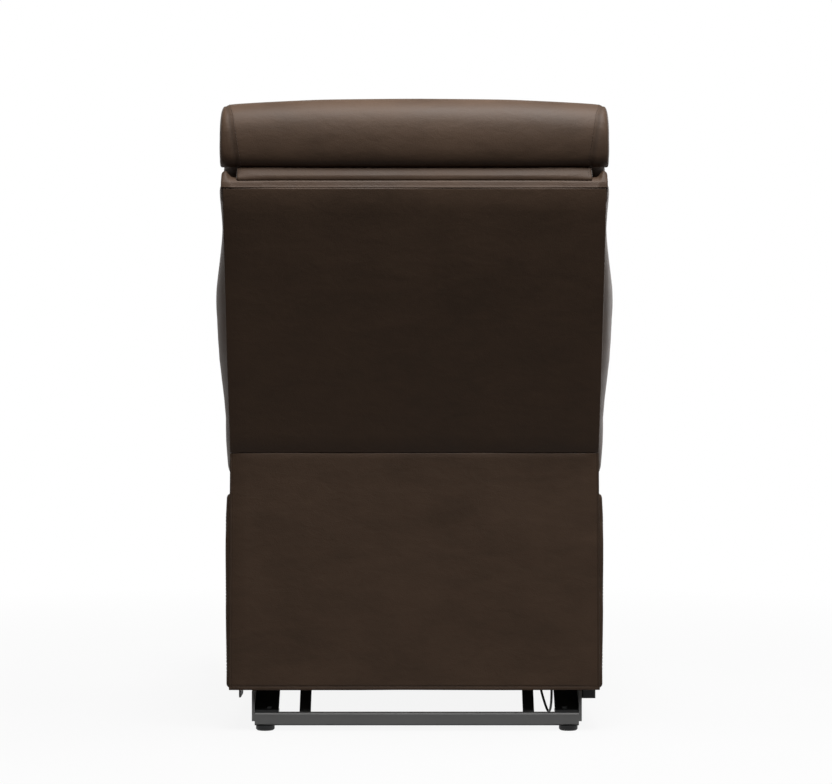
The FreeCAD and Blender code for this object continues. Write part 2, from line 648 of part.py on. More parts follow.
def footrest_board():
    board = slab(-BOARD_HALF_WIDTH, BOARD_HALF_WIDTH, -BOARD_BACK_U - BOARD_THICK, -BOARD_BACK_U,
                 BOARD_BOTTOM, BOARD_TOP)
    return rounded(board, Vector(0, 1, 0), BOARD_CORNER)


def footrest_pad():
    """Padded panel with a crowned front and drawn-in edges, lofted from bottom to top."""
    back = -BOARD_BACK_U - BOARD_THICK
    height = PAD_TOP - PAD_BOTTOM
    sections = []
    for share, depth, width in ((0.0, 0.62, 0.985), (0.08, 0.9, 1.0), (0.5, 1.0, 1.0),
                                (0.92, 0.9, 1.0), (1.0, 0.62, 0.985)):
        z = PAD_BOTTOM + share * height
        front = back - PAD_THICK * depth
        half = PAD_HALF_WIDTH * width
        shoulder = half - PAD_SHOULDER
        shoulder_y = front + PAD_SHOULDER_DROP
        rear = half - PAD_REAR_INSET
        middle = (back + front) / 2
        sections.append(Part.Wire([
            line(Vector(-rear, back, z), Vector(rear, back, z)),
            arc(Vector(rear, back, z), Vector(half, middle, z), Vector(shoulder, shoulder_y, z)),
            arc(Vector(shoulder, shoulder_y, z), Vector(0, front, z),
                Vector(-shoulder, shoulder_y, z)),
            arc(Vector(-shoulder, shoulder_y, z), Vector(-half, middle, z),
                Vector(-rear, back, z))]))
    return Part.makeLoft(sections, True, False)


def drive_tube():
    """Tube across both rear links, which the leg motor pushes."""
    x0, x1 = span(1, -LAYER_1_INNER, LAYER_1_INNER, BASE_SHIFT)
    return disc(x0, x1, -TUBE_STOWED[0], TUBE_STOWED[1], TUBE_RADIUS)


# Motors

def motor_rail(y, z):
    """Square tube across between the mechanism plates."""
    x0, x1 = span(1, -PLATE_INNER, PLATE_INNER, BASE_SHIFT)
    half = MOTOR_RAIL / 2
    return rounded(slab(x0, x1, y - half, y + half, z - half, z + half), X_AXIS, 2.5)


def motor_rails():
    return Part.makeCompound([motor_rail(LEG_RAIL_Y, LEG_RAIL_Z),
                              motor_rail(BACK_RAIL_Y, BACK_RAIL_Z)])


def actuator(x, tail_y, mouth_y, z, motor_side):
    """Screw housing along Y with a bore for its rod, and a motor beside its tail."""
    low, high = sorted((tail_y, mouth_y))
    half = ACTUATOR_WIDTH / 2
    body = slab(x - half, x + half, low, high, z - ACTUATOR_HEIGHT / 2, z + ACTUATOR_HEIGHT / 2)
    body = rounded(body, Vector(0, 1, 0), ACTUATOR_CORNER)
    direction = Vector(0, math.copysign(1, mouth_y - tail_y), 0)
    motor_end = Vector(x + motor_side * (half + MOTOR_RADIUS - MOTOR_SINK), tail_y, z + MOTOR_RISE)
    motor = Part.makeCylinder(MOTOR_RADIUS, MOTOR_LENGTH, motor_end, direction)
    cap = Part.makeCylinder(MOTOR_RADIUS - MOTOR_CAP_STEP, MOTOR_CAP, motor_end, direction * -1)
    bore_depth = abs(mouth_y - tail_y) - BORE_END
    bore = Part.makeCylinder(ROD_RADIUS + ROD_CLEARANCE, bore_depth, Vector(x, mouth_y, z),
                             direction * -1)
    return body.fuse([motor, cap]).cut(bore).removeSplitter()


def rod(x, tail_y, fork_y, z, slot_height):
    """Sliding rod with a slotted fork round a cross tube."""
    direction = Vector(0, math.copysign(1, fork_y - tail_y), 0)
    slot = TUBE_RADIUS + FORK_SLACK
    neck_y = fork_y - direction.y * (slot + FORK_WALL)
    shaft = Part.makeCylinder(ROD_RADIUS, abs(neck_y - tail_y), Vector(x, tail_y, z), direction)
    half = FORK_WIDTH / 2
    height = slot_height / 2 + slot
    outer = slab(x - half, x + half, fork_y - slot - FORK_WALL, fork_y + slot + FORK_WALL,
                 z - height - FORK_WALL, z + height + FORK_WALL)
    outer = rounded(outer, X_AXIS, 8.0)
    inner = rounded(slab(x - half, x + half, fork_y - slot, fork_y + slot,
                         z - height, z + height), X_AXIS, slot - 0.5)
    return shaft.fuse(outer).cut(inner).removeSplitter()


def leg_actuator():
    return actuator(LEG_ACTUATOR_X, LEG_TAIL_Y, LEG_MOUTH_Y, LEG_ROD_Z, 1)


def back_actuator():
    return actuator(BACK_ACTUATOR_X, BACK_TAIL_Y, BACK_MOUTH_Y, BACK_ROD_Z, -1)


def leg_rod():
    """Rod that moves forward as the footrest opens; 30 mm stay in the bore."""
    tail = LEG_MOUTH_Y + LEG_STROKE + ROD_OVERLAP
    slot_height = LEG_CRANK * (1 - math.cos(HALF_SWING))
    return rod(LEG_ACTUATOR_X, tail, -TUBE_STOWED[0], LEG_ROD_Z, slot_height)


def back_rod():
    """Rod that is drawn into its housing as the back reclines."""
    slot_height = BACK_CRANK * (1 - math.cos(HALF_RECLINE))
    tail = BACK_MOUTH_Y - BACK_STROKE - ROD_OVERLAP / 2
    return rod(BACK_ACTUATOR_X, tail, CRANK_TUBE_Y, BACK_ROD_Z, slot_height)


# Seat box

def flap_y(z, inset=0.0):
    """Y of the lower rear panel's outer face at a height, moved inward."""
    return FLAP_BOTTOM_Y - FLAP_RUN * (z - BOX_BOTTOM) / FLAP_HEIGHT - inset


def seat_side(side):
    """Plywood side of the seat box."""
    inset = FLAP_THICK
    outline = [(BOARD_FRONT, BOX_BOTTOM), (flap_y(BOX_BOTTOM, inset), BOX_BOTTOM),
               (flap_y(RAIL_TOP, inset), RAIL_TOP), (BOARD_FRONT, RAIL_TOP)]
    x0, x1 = span(side, SIDE_INNER, SIDE_OUTER)
    board = prism(x0, x1, outline)
    for y, z in MOUNT_BOLTS:
        board = board.cut(disc(x0, x1, y, z, PIN_RADIUS))
    return board


def module_plate(name):
    """Joining plate on the side board, with a raised lip below the seat box."""
    side = SIDES[name]
    x0, x1 = span(side, SIDE_OUTER, SIDE_OUTER + MODULE_PLATE_THICK)
    y0 = MODULE_PLATE_Y[name] - MODULE_PLATE_LENGTH / 2
    y1 = y0 + MODULE_PLATE_LENGTH
    low = BOX_BOTTOM - MODULE_PLATE_DROP
    top = low + MODULE_PLATE_HEIGHT
    plate = rounded(slab(x0, x1, y0, y1, low, top), X_AXIS, 6.0)
    s0, s1 = span(side, SIDE_OUTER + MODULE_PLATE_THICK - MODULE_PLATE_STEP, FAR)
    return plate.cut(slab(s0, s1, y0, y1, BOX_BOTTOM - SOFT_CLEARANCE, top))


def module_plates():
    return Part.makeCompound([module_plate(name) for name in SIDES])


def side_cover(name):
    """Padded side of the seat box, over the board and the joining plate."""
    side = SIDES[name]
    outline = [(BOX_FRONT, BOX_BOTTOM), (flap_y(BOX_BOTTOM, REAR_SEAM_INSET), BOX_BOTTOM),
               (flap_y(BOX_TOP, REAR_SEAM_INSET), BOX_TOP), (BOX_FRONT, BOX_TOP)]
    x0, x1 = span(side, SIDE_OUTER, BOX_HALF_WIDTH)
    cover = prism(x0, x1, outline)
    outer = x1 if side > 0 else x0
    rim = [edge for edge in cover.Edges
           if abs(edge.BoundBox.XMin - outer) < 0.01 and abs(edge.BoundBox.XMax - outer) < 0.01]
    cover = cover.makeFillet(SIDE_CORNER, rim)
    cover = cover.cut(module_plate(name))
    cover = cover.cut(flap_prism(PANEL_HALF_WIDTH + SOFT_CLEARANCE, FLAP_THICK + SOFT_CLEARANCE))
    if side < 0:
        cover = cover.cut(control_panel_block())
    return cover


def flap_return(side):
    """Side return of the flap, which closes the gap under the back's heel."""
    x0, x1 = span(side, PANEL_HALF_WIDTH - FLAP_THICK, PANEL_HALF_WIDTH)
    low = BOX_TOP + SOFT_CLEARANCE
    start = BACK_PIVOT_Y + FLAP_RETURN_START
    top_y = flap_y(CREASE_Z, FLAP_THICK)
    tuck = top_y - FLAP_RETURN_TUCK
    tuck_z = min(heel_z(tuck) - FLAP_HEEL_GAP, CREASE_Z - FLAP_RETURN_DROP)
    return prism(x0, x1, [(start, low), (flap_y(low, FLAP_THICK), low), (top_y, CREASE_Z),
                          (tuck, tuck_z),
                          (start, heel_z(start) - FLAP_HEEL_GAP)])


def heel_z(y):
    """Height of the underside of the back cushion, which clears the seat box when it swings."""
    slope = math.tan(math.radians(BACK_RECLINE)) * 1.06
    return BOX_TOP + HEEL_CLEARANCE + max(0.0, y - BACK_PIVOT_Y) * slope


def flap_prism(half_width, thick):
    """Leaning sheet just inside the lower rear panel's outer face."""
    return prism(-half_width, half_width,
                 [(flap_y(BOX_BOTTOM), BOX_BOTTOM), (flap_y(CREASE_Z), CREASE_Z),
                  (flap_y(CREASE_Z, thick), CREASE_Z), (flap_y(BOX_BOTTOM, thick), BOX_BOTTOM)])


def rear_flap():
    """Lower rear panel, a leather sheet that folds in as the back reclines."""
    sheet = flap_prism(PANEL_HALF_WIDTH, FLAP_THICK)
    return sheet.fuse([flap_return(side) for side in SIDES.values()]).removeSplitter()


def rear_board():
    """Plywood behind the flap, low enough for the back's heel to swing over it."""
    inner = FLAP_THICK + REAR_BOARD_THICK
    return prism(-SIDE_INNER, SIDE_INNER,
                 [(flap_y(BOX_BOTTOM, FLAP_THICK), BOX_BOTTOM),
                  (flap_y(REAR_BOARD_TOP, FLAP_THICK), REAR_BOARD_TOP),
                  (flap_y(REAR_BOARD_TOP, inner), REAR_BOARD_TOP),
                  (flap_y(BOX_BOTTOM, inner), BOX_BOTTOM)])


def seat_rails():
    """Front rail between the sides, and the spring rail over the back motor."""
    front = slab(-SIDE_INNER, SIDE_INNER, BOARD_FRONT, BOARD_FRONT + SEAT_RAIL_THICK,
                 RAIL_TOP - SEAT_RAIL_HEIGHT, RAIL_TOP)
    motor_top = BACK_ROD_Z + ACTUATOR_HEIGHT / 2
    rear = slab(-SIDE_INNER, SIDE_INNER, SPRING_RAIL_Y - SEAT_RAIL_THICK, SPRING_RAIL_Y,
                motor_top + SPRING_RAIL_CLEARANCE, RAIL_TOP)
    return Part.makeCompound([front, rear])


def seat_webbing():
    """Elastic straps from the front rail to the spring rail."""
    straps = []
    pitch = 2 * SIDE_INNER / WEBBING_STRAPS
    for index in range(WEBBING_STRAPS):
        middle = -SIDE_INNER + pitch * (index + 0.5)
        straps.append(slab(middle - WEBBING_WIDTH / 2, middle + WEBBING_WIDTH / 2,
                           BOARD_FRONT, SPRING_RAIL_Y, RAIL_TOP, BOX_TOP))
    return Part.makeCompound(straps)


def seat_section(x, height, nose):
    """Side profile of the seat cushion: rounded nose, waterfall front and crowned top."""
    top = BOX_TOP + height
    front = SEAT_FRONT + nose
    low = WATERFALL_BOTTOM + nose
    back_low = BOX_FRONT - WATERFALL_LIP + WATERFALL_RETURN
    face = top - low
    points = [Vector(x, SEAT_BACK, BOX_TOP), Vector(x, BOX_FRONT, BOX_TOP),
              Vector(x, BOX_FRONT, low + 6), Vector(x, back_low, low),
              Vector(x, front, low + face * 0.25), Vector(x, front, top - face * 0.45),
              Vector(x, front + 46, top - 2), Vector(x, SEAT_BACK - 26, top - 3),
              Vector(x, SEAT_BACK, top - 26)]
    nose_low = Vector(x, front + 8, low + 8)
    nose_top = Vector(x, front + 12, top - 13)
    crown = Vector(x, (front + SEAT_BACK) / 2, top)
    heel = Vector(x, SEAT_BACK - 7, top - 9)
    return Part.Wire([
        line(points[0], points[1]), line(points[1], points[2]), line(points[2], points[3]),
        arc(points[3], nose_low, points[4]), line(points[4], points[5]),
        arc(points[5], nose_top, points[6]), arc(points[6], crown, points[7]),
        arc(points[7], heel, points[8]), line(points[8], points[0])])


def seat_cushion():
    """Seat cushion lofted across, crowned in the middle and drawn in at its ends."""
    half = SEAT_HALF_WIDTH
    crown = SEAT_CROWN
    sides = SEAT_SIDE_HEIGHT
    places = [(-half, sides - 12, 9), (-half + 12, sides, 2), (-half * 0.6, sides + crown * 0.7, 0),
              (0, sides + crown, 0),
              (half * 0.6, sides + crown * 0.7, 0), (half - 12, sides, 2), (half, sides - 12, 9)]
    return Part.makeLoft([seat_section(*place) for place in places], True, True)


# Back hinges

def back_hinge(side):
    """Steel plate on the seat's side with the back's pivot bolt."""
    x0, x1 = span(side, SIDE_INNER - BACK_HINGE_THICK, SIDE_INNER)
    y = BACK_PIVOT_Y
    z = BACK_PIVOT_Z
    plate = prism(x0, x1, [(y - 40, z - 95), (y + 40, z - 95), (y + 40, z - 43), (y + 15, z),
                           (y - 15, z), (y - 40, z - 43)])
    plate = plate.fuse(disc(x0, x1, y, BACK_PIVOT_Z, BACK_BOSS_RADIUS))
    inner = SIDE_INNER - BACK_HINGE_THICK - LAYER_GAP - BACK_ARM_THICK - PIN_CLEARANCE
    b0, b1 = span(side, inner, SIDE_INNER)
    h0, h1 = span(side, inner - PIN_HEAD, inner)
    return plate.fuse([disc(b0, b1, y, BACK_PIVOT_Z, PIN_RADIUS + 1),
                       disc(h0, h1, y, BACK_PIVOT_Z, PIN_HEAD_RADIUS + 2)]).removeSplitter()


# Back, built upright about the crease and then leaned

def lean_back(shape):
    """Move a shape from the back's own frame, x, -t and s, to its place in the chair."""
    placed = shape.copy()
    placed.rotate(Vector(0, 0, 0), X_AXIS, -BACK_LEAN)
    placed.translate(Vector(0, CREASE_Y, CREASE_Z))
    return placed


def back_panel():
    """Rear board of the back in its leather."""
    panel = slab(-PANEL_HALF_WIDTH, PANEL_HALF_WIDTH, -BACK_PANEL_THICK, 0, 0,
                 BACK_LENGTH - TOP_EDGE_HEIGHT)
    return lean_back(panel)


def top_edge_section(x, lift):
    """Side profile of the padded edge: a sloping top that rises forward to a soft ridge."""
    low = BACK_LENGTH - TOP_EDGE_HEIGHT
    peak = BACK_LENGTH + TOP_EDGE_RISE + lift
    front = -TOP_EDGE_THICK
    corner = Vector(x, 0, BACK_LENGTH)
    slope = Vector(x, -TOP_EDGE_RIDGE / 2, (BACK_LENGTH + peak) / 2 + 1)
    ridge = Vector(x, -TOP_EDGE_RIDGE, peak)
    brow = Vector(x, front + 3.5, peak - 4)
    front_top = Vector(x, front, peak - TOP_EDGE_RISE - 2)
    return Part.Wire([
        line(Vector(x, front, low), Vector(x, 0, low)), line(Vector(x, 0, low), corner),
        arc(corner, slope, ridge), arc(ridge, brow, front_top),
        line(front_top, Vector(x, front, low))])


def ear_lift(share):
    """Height of an ear over the padded edge: a slow rise, a crest and a short fall."""
    return EAR_RISE * math.sin(0.87 * math.pi * share ** 2)


def back_top_edge():
    """Padded edge along the top of the back, which curls up into an ear at each end."""
    half = PANEL_HALF_WIDTH
    width = EAR_WIDTH + EAR_FOOT
    start = half - width
    middle = Part.makeLoft([top_edge_section(-start, 0), top_edge_section(start, 0)], True, True)
    ears = []
    for side in SIDES.values():
        shares = [index / (EAR_SECTIONS - 1) for index in range(EAR_SECTIONS)]
        sections = [top_edge_section(side * (start + share * width), ear_lift(share))
                    for share in shares]
        ears.append(Part.makeLoft(sections, True, False))
    return lean_back(middle.fuse(ears).removeSplitter())


def back_section(s, swell, depth):
    """Level slice of the back cushion: flat rear, swelling sides and a crowned front."""
    half = PANEL_HALF_WIDTH + swell
    rear = -BACK_PANEL_THICK
    front = -depth
    corner = half - 26
    edge_y = front + 16
    middle = (rear + front) / 2
    seam = min(half, PANEL_HALF_WIDTH) - 4
    return Part.Wire([
        line(Vector(-seam, rear, s), Vector(seam, rear, s)),
        arc(Vector(seam, rear, s), Vector(half, middle, s), Vector(corner, edge_y, s)),
        arc(Vector(corner, edge_y, s), Vector(0, front, s), Vector(-corner, edge_y, s)),
        arc(Vector(-corner, edge_y, s), Vector(-half, middle, s), Vector(-seam, rear, s))])


def back_cushion():
    """Back cushion, widest at the small of the back, with room for hinges and headrest."""
    cushion = Part.makeLoft([back_section(*place) for place in BACK_SECTIONS], True, False)
    top = BACK_LENGTH - TOP_EDGE_HEIGHT
    cushion = cushion.cut(slab(-FAR, FAR, -TOP_EDGE_THICK - SOFT_CLEARANCE, FAR,
                               top - SOFT_CLEARANCE, FAR))
    nose = HEADREST_NOSE + 2
    cushion = cushion.cut([disc(-FAR, FAR, HINGE_T, HINGE_S, nose),
                           slab(-FAR, FAR, -FAR, HINGE_T + nose + 4, HINGE_S, FAR),
                           slab(-FAR, FAR, -FAR, HINGE_T, HINGE_S - nose, FAR)])
    for side in SIDES.values():
        x0, x1 = span(side, SIDE_INNER - 14, SIDE_INNER + 6)
        slot_top = BACK_ARM_REACH + 6
        arm_slot = slab(x0, x1, PIVOT_T - 42, 0, PIVOT_S - 125, slot_top)
        f0, f1 = span(side, SIDE_INNER - 10 - BACK_ARM_FLANGE, SIDE_INNER)
        flange_slot = slab(f0, f1, -BACK_PANEL_THICK - BACK_ARM_THICK - 3, 0,
                           PIVOT_S - 125, slot_top)
        h0, h1 = span(side, HEADREST_HINGE_X - HINGE_SLOT / 2, HEADREST_HINGE_X + HINGE_SLOT / 2)
        hinge_slot = slab(h0, h1, -FAR, 0, HINGE_S - 40, FAR)
        cushion = cushion.cut([arm_slot, flange_slot, hinge_slot])
    cushion = lean_back(cushion)
    cushion = cushion.cut(prism(-FAR, FAR, [(-FAR, 0), (FAR, 0), (FAR, heel_z(FAR)),
                                            (BACK_PIVOT_Y, heel_z(BACK_PIVOT_Y)),
                                            (-FAR, heel_z(-FAR))]))
    seat_top = BOX_TOP + SEAT_SIDE_HEIGHT + SEAT_CROWN + 6
    return cushion.cut(slab(-FAR, FAR, -FAR, SEAT_BACK + BACK_FRONT_CLEARANCE, 0, seat_top))


def back_arms():
    """Hinge arms of the back: each reaches from the panel to the pivot and the crank tube."""
    outer = SIDE_INNER - BACK_HINGE_THICK - LAYER_GAP
    inner = outer - BACK_ARM_THICK
    panel = -BACK_PANEL_THICK
    arms = []
    for side in SIDES.values():
        x0, x1 = span(side, inner, outer)
        crank = CRANK_BOSS_RADIUS
        blade = prism(x0, x1, [(panel, BACK_ARM_FOOT), (panel, BACK_ARM_REACH),
                               (panel - 22, BACK_ARM_REACH), (panel - 26, 0),
                               (PIVOT_T - 12, PIVOT_S + 14), (CRANK_T - crank, CRANK_S),
                               (CRANK_T + crank, CRANK_S), (PIVOT_T + 16, PIVOT_S + 4),
                               (panel - 6, -12)])
        f0, f1 = span(side, inner - BACK_ARM_FLANGE, outer)
        flange = slab(f0, f1, panel - BACK_ARM_THICK, panel, BACK_ARM_FOOT, BACK_ARM_REACH)
        arm = blade.fuse([disc(x0, x1, PIVOT_T, PIVOT_S, BACK_BOSS_RADIUS),
                          disc(x0, x1, CRANK_T, CRANK_S, crank), flange])
        hole = disc(x0, x1, PIVOT_T, PIVOT_S, PIN_RADIUS + 1 + PIN_CLEARANCE)
        arms.append(lean_back(arm.cut(hole).removeSplitter()))
    return Part.makeCompound(arms)


def back_crank_tube():
    """Tube across the lower ends of the back's arms, which the back motor pulls."""
    half = SIDE_INNER - BACK_HINGE_THICK - LAYER_GAP - BACK_ARM_THICK
    return disc(-half, half, CRANK_TUBE_Y, CRANK_TUBE_Z, TUBE_RADIUS)


def headrest_hinges():
    """Fixed halves of the two ratchet hinges, on the back panel's front."""
    plates = []
    for side in SIDES.values():
        x0, x1 = span(side, HEADREST_HINGE_X, HEADREST_HINGE_X + HEADREST_PLATE)
        plate = prism(x0, x1, [(-BACK_PANEL_THICK, HINGE_S - 30), (-BACK_PANEL_THICK, HINGE_S + 6),
                               (HINGE_T, HINGE_S + 12), (HINGE_T, HINGE_S - 12),
                               (HINGE_T + 30, HINGE_S - 30)])
        boss = disc(x0, x1, HINGE_T, HINGE_S, HINGE_BOSS_RADIUS)
        plates.append(lean_back(plate.fuse(boss).removeSplitter()))
    return Part.makeCompound(plates)


# Headrest

def headrest_section(x, inset):
    """Side profile of the headrest: a roll over the top of the back with a pad in front."""
    hy = HEADREST_PIVOT_Y
    hz = HEADREST_PIVOT_Z
    nose = HEADREST_NOSE - inset * 0.3
    top = BACK_TOP_Z + HEADREST_RISE - inset
    rear = BACK_TOP_Y + HEADREST_REAR - inset
    front = hy - HEADREST_CHIN + inset * 0.6
    inner = hy + nose
    under = HEADREST_UNDER
    chin = Vector(x, hy - nose, hz)
    throat = Vector(x, inner, hz)
    neck = Vector(x, inner + 7, under - 17)
    neck_top = Vector(x, inner + 24, under)
    board_end = Vector(x, BACK_TOP_Y - 42, under)
    tuck = Vector(x, BACK_TOP_Y - 28, under - 5)
    back_low = Vector(x, rear - 1, under + 18)
    crest = Vector(x, BACK_TOP_Y - 62, top)
    face = Vector(x, front, under + 35)
    return Part.Wire([
        arc(chin, Vector(x, hy, hz - nose), throat), line(throat, neck),
        arc(neck, Vector(x, inner + 12, under - 5), neck_top), line(neck_top, board_end),
        line(board_end, tuck), arc(tuck, Vector(x, rear - 13, under - 0.5), back_low),
        arc(back_low, Vector(x, rear - 14, top - 27 + inset * 0.4), crest),
        arc(crest, Vector(x, hy - 5, top - 21), face),
        arc(face, Vector(x, front + 1, under - 25), chin)])


def headrest_cushion():
    """Headrest roll, drawn in at its ends, with slots for its two hinges."""
    half = HEADREST_HALF_WIDTH
    places = [(-half, 13), (-half + 8, 3), (-half * 0.5, -1), (0, -2), (half * 0.5, -1),
              (half - 8, 3), (half, 13)]
    cushion = Part.makeLoft([headrest_section(*place) for place in places], True, True)
    for side in SIDES.values():
        x0, x1 = span(side, HEADREST_HINGE_X - HINGE_SLOT / 2, HEADREST_HINGE_X + HINGE_SLOT / 2)
        cushion = cushion.cut(slab(x0, x1, HEADREST_PIVOT_Y - 15, HEADREST_PIVOT_Y + 60,
                                   HEADREST_PIVOT_Z - 40, HEADREST_UNDER))
    return cushion


def headrest_skirt():
    """Padded strip below the roll, between the two ears of the back."""
    high = HEADREST_UNDER
    low = high - SKIRT_HEIGHT
    rear = BACK_TOP_Y - SKIRT_REAR
    front = rear - SKIRT_DEPTH
    profile = prism(-SKIRT_HALF_WIDTH, SKIRT_HALF_WIDTH,
                    [(rear, low), (rear - 15.5, high - 5.5), (front, high - 1.5),
                     (front, high - 11), (rear - 14, low)])
    long_edges = [edge for edge in edges_along(profile, X_AXIS) if edge.BoundBox.YMax > rear - 14.5]
    return profile.makeFillet(2.5, long_edges)


def headrest_board():
    """Board inside the headrest's underside, between its hinges and the skirt."""
    half = SKIRT_HALF_WIDTH - 6
    top = HEADREST_UNDER - 0.1
    return slab(-half, half, HEADREST_PIVOT_Y + 52, BACK_TOP_Y - 42, top - HEADREST_BOARD_THICK, top)


def headrest_arms():
    """Moving halves of the ratchet hinges, screwed under the headrest board."""
    plates = []
    hy = HEADREST_PIVOT_Y
    hz = HEADREST_PIVOT_Z
    low = HEADREST_UNDER - 0.1 - HEADREST_BOARD_THICK
    for side in SIDES.values():
        inner = HEADREST_HINGE_X - 0.8 - HEADREST_PLATE
        x0, x1 = span(side, inner, HEADREST_HINGE_X - 0.8)
        plate = prism(x0, x1, [(hy - 6, hz + 10), (hy + 10, hz - 6), (BACK_TOP_Y - 52, low - 8),
                               (BACK_TOP_Y - 52, low), (hy + 53, low), (hy + 33, low - 24)])
        stub0, stub1 = span(side, inner, HEADREST_HINGE_X - PIN_CLEARANCE)
        plates.append(plate.fuse([disc(x0, x1, hy, hz, HINGE_BOSS_RADIUS),
                                  disc(stub0, stub1, hy, hz, HINGE_BOSS_RADIUS / 2)])
                      .removeSplitter())
    return Part.makeCompound(plates)


# Controls

def control_panel_block():
    """Space of the control panel in the right-hand side cover."""
    outer = -BOX_HALF_WIDTH - PANEL_PROUD
    block = slab(outer, outer + PANEL_THICK, PANEL_Y - PANEL_LENGTH / 2,
                 PANEL_Y + PANEL_LENGTH / 2, PANEL_Z - PANEL_HEIGHT / 2, PANEL_Z + PANEL_HEIGHT / 2)
    return rounded(block, X_AXIS, PANEL_CORNER)


def button_y(index):
    return PANEL_Y + (index - (BUTTON_COUNT - 1) / 2) * BUTTON_PITCH


def control_panel():
    """Switch plate with a blind well for each button."""
    plate = control_panel_block()
    outer = -BOX_HALF_WIDTH - PANEL_PROUD
    for index in range(BUTTON_COUNT):
        plate = plate.cut(disc(outer, outer + PANEL_THICK - 1, button_y(index), PANEL_Z,
                               BUTTON_RADIUS + BUTTON_CLEARANCE))
    return plate


def button(index):
    """Round push button that stands a little proud of its plate."""
    outer = -BOX_HALF_WIDTH - PANEL_PROUD - BUTTON_PROUD
    cap = disc(outer, outer + BUTTON_DEPTH, button_y(index), PANEL_Z, BUTTON_RADIUS)
    rim = [edge for edge in cap.Edges if edge.BoundBox.XMax < outer + 0.01]
    return cap.makeChamfer(BUTTON_CHAMFER, rim)


def control_box():
    """Electronics box under the right-hand side of the seat box."""
    inner = -CONTROL_BOX_INNER
    return rounded(slab(inner - CONTROL_BOX_WIDTH, inner, CONTROL_BOX_Y,
                        CONTROL_BOX_Y + CONTROL_BOX_LENGTH, BOX_BOTTOM - CONTROL_BOX_HEIGHT,
                        BOX_BOTTOM), Vector(0, 0, 1), 3.0)


def cable_path():
    """Straight runs joined by tangent arcs through the cable's points."""
    points = [Vector(*point) for point in CABLE_POINTS]
    edges = []
    start = points[0]
    for before, here, after in zip(points, points[1:], points[2:]):
        back = before - here
        onward = after - here
        turn = math.pi - back.getAngle(onward)
        setback = 0.45 * min(back.Length, onward.Length)
        back.normalize()
        onward.normalize()
        print("cable radius", round(setback / math.tan(turn / 2), 1))
        enter = here + back * setback
        leave = here + onward * setback
        bisector = (back + onward)
        bisector.normalize()
        radius = setback / math.tan(turn / 2)
        centre = here + bisector * (radius / math.cos(turn / 2))
        edges.append(line(start, enter))
        edges.append(arc(enter, centre - bisector * radius, leave))
        start = leave
    edges.append(line(start, points[-1]))
    return Part.Wire(edges)


def cable():
    """Motor cable that hangs in a loop in front of the rear crossbar."""
    path = cable_path()
    start = Vector(*CABLE_POINTS[0])
    direction = Vector(*CABLE_POINTS[1]) - start
    ring = Part.Wire(Part.makeCircle(CABLE_RADIUS, start, direction))
    tube = path.makePipeShell([ring], True, False)
    print("cable length", round(path.Length, 1), "volume share",
          round(tube.Volume / (path.Length * math.pi * CABLE_RADIUS ** 2), 4))
    return tube


def cable_clips():
    """One clip under the leg motor's rail and one on the inner edge of the right rear strut."""
    x, y, z = CABLE_POINTS[0]
    first = slab(x - CLIP_HALF, x + CLIP_HALF, y - CLIP_DEPTH - 3, y + CLIP_DEPTH - 3, z,
                 LEG_RAIL_Z - MOTOR_RAIL / 2)
    x, y, z = CABLE_POINTS[-1]
    strut_edge = BASE_SHIFT - (PLATE_OUTER - STRUT_WIDTH)
    x0, x1 = sorted((strut_edge, x + CLIP_HALF))
    second = slab(x0, x1, y - CLIP_DEPTH, y + CLIP_DEPTH, z, z + CLIP_HEIGHT)
    return Part.makeCompound([first, second])


def build():
    """Every node of the recliner under its own name."""
    nodes = {
        "rear_crossbar": crossbar(REAR_FOOT_Y),
        "front_crossbar": crossbar(FRONT_FOOT_Y),
        "base_rivets": base_rivets(),
        "inner_struts": inner_struts(),
        "glide_feet": glide_feet(),
        "mount_bolts": mount_bolts(),
        "lower_links": lower_links(),
        "drive_tube": drive_tube(),
        "footrest_board": footrest_board(),
        "footrest_pad": footrest_pad(),
        "motor_rails": motor_rails(),
        "leg_actuator": leg_actuator(),
        "back_actuator": back_actuator(),
        "leg_rod": leg_rod(),
        "back_rod": back_rod(),
        "module_plates": module_plates(),
        "rear_flap": rear_flap(),
        "rear_board": rear_board(),
        "seat_rails": seat_rails(),
        "seat_webbing": seat_webbing(),
        "seat_cushion": seat_cushion(),
        "back_panel": back_panel(),
        "back_top_edge": back_top_edge(),
        "back_cushion": back_cushion(),
        "back_arms": back_arms(),
        "back_crank_tube": back_crank_tube(),
        "headrest_hinges": headrest_hinges(),
        "headrest_cushion": headrest_cushion(),
        "headrest_skirt": headrest_skirt(),
        "headrest_board": headrest_board(),
        "headrest_arms": headrest_arms(),
        "control_panel": control_panel(),
        "control_box": control_box(),
        "cable": cable(),
        "cable_clips": cable_clips(),
    }
    for name, side in SIDES.items():
        nodes["base_plate_" + name] = base_plate(side)
        nodes["rear_strut_" + name] = rear_strut(side)
        nodes["mechanism_plate_" + name] = mechanism_plate(side)
        nodes["front_link_" + name] = front_link(side)
        nodes["rear_link_" + name] = rear_link(side)
        nodes["upper_link_" + name] = upper_link(side)
        nodes["footrest_bracket_" + name] = footrest_bracket(side)
        nodes["seat_side_" + name] = seat_side(side)
        nodes["side_cover_" + name] = side_cover(name)
        nodes["back_hinge_" + name] = back_hinge(side)
    for index in range(BUTTON_COUNT):
        nodes["button_" + str(index + 1)] = button(index)
    return nodes


os.makedirs("parts", exist_ok=True)
for node, shape in build().items():
    shape.exportStep("parts/" + node + ".step")
    print(node, "solids", len(shape.Solids), "valid", shape.isValid())
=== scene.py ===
"""Looks of an armless power recliner: leather, seams, thread and steel round its CAD frame."""

import json
import math

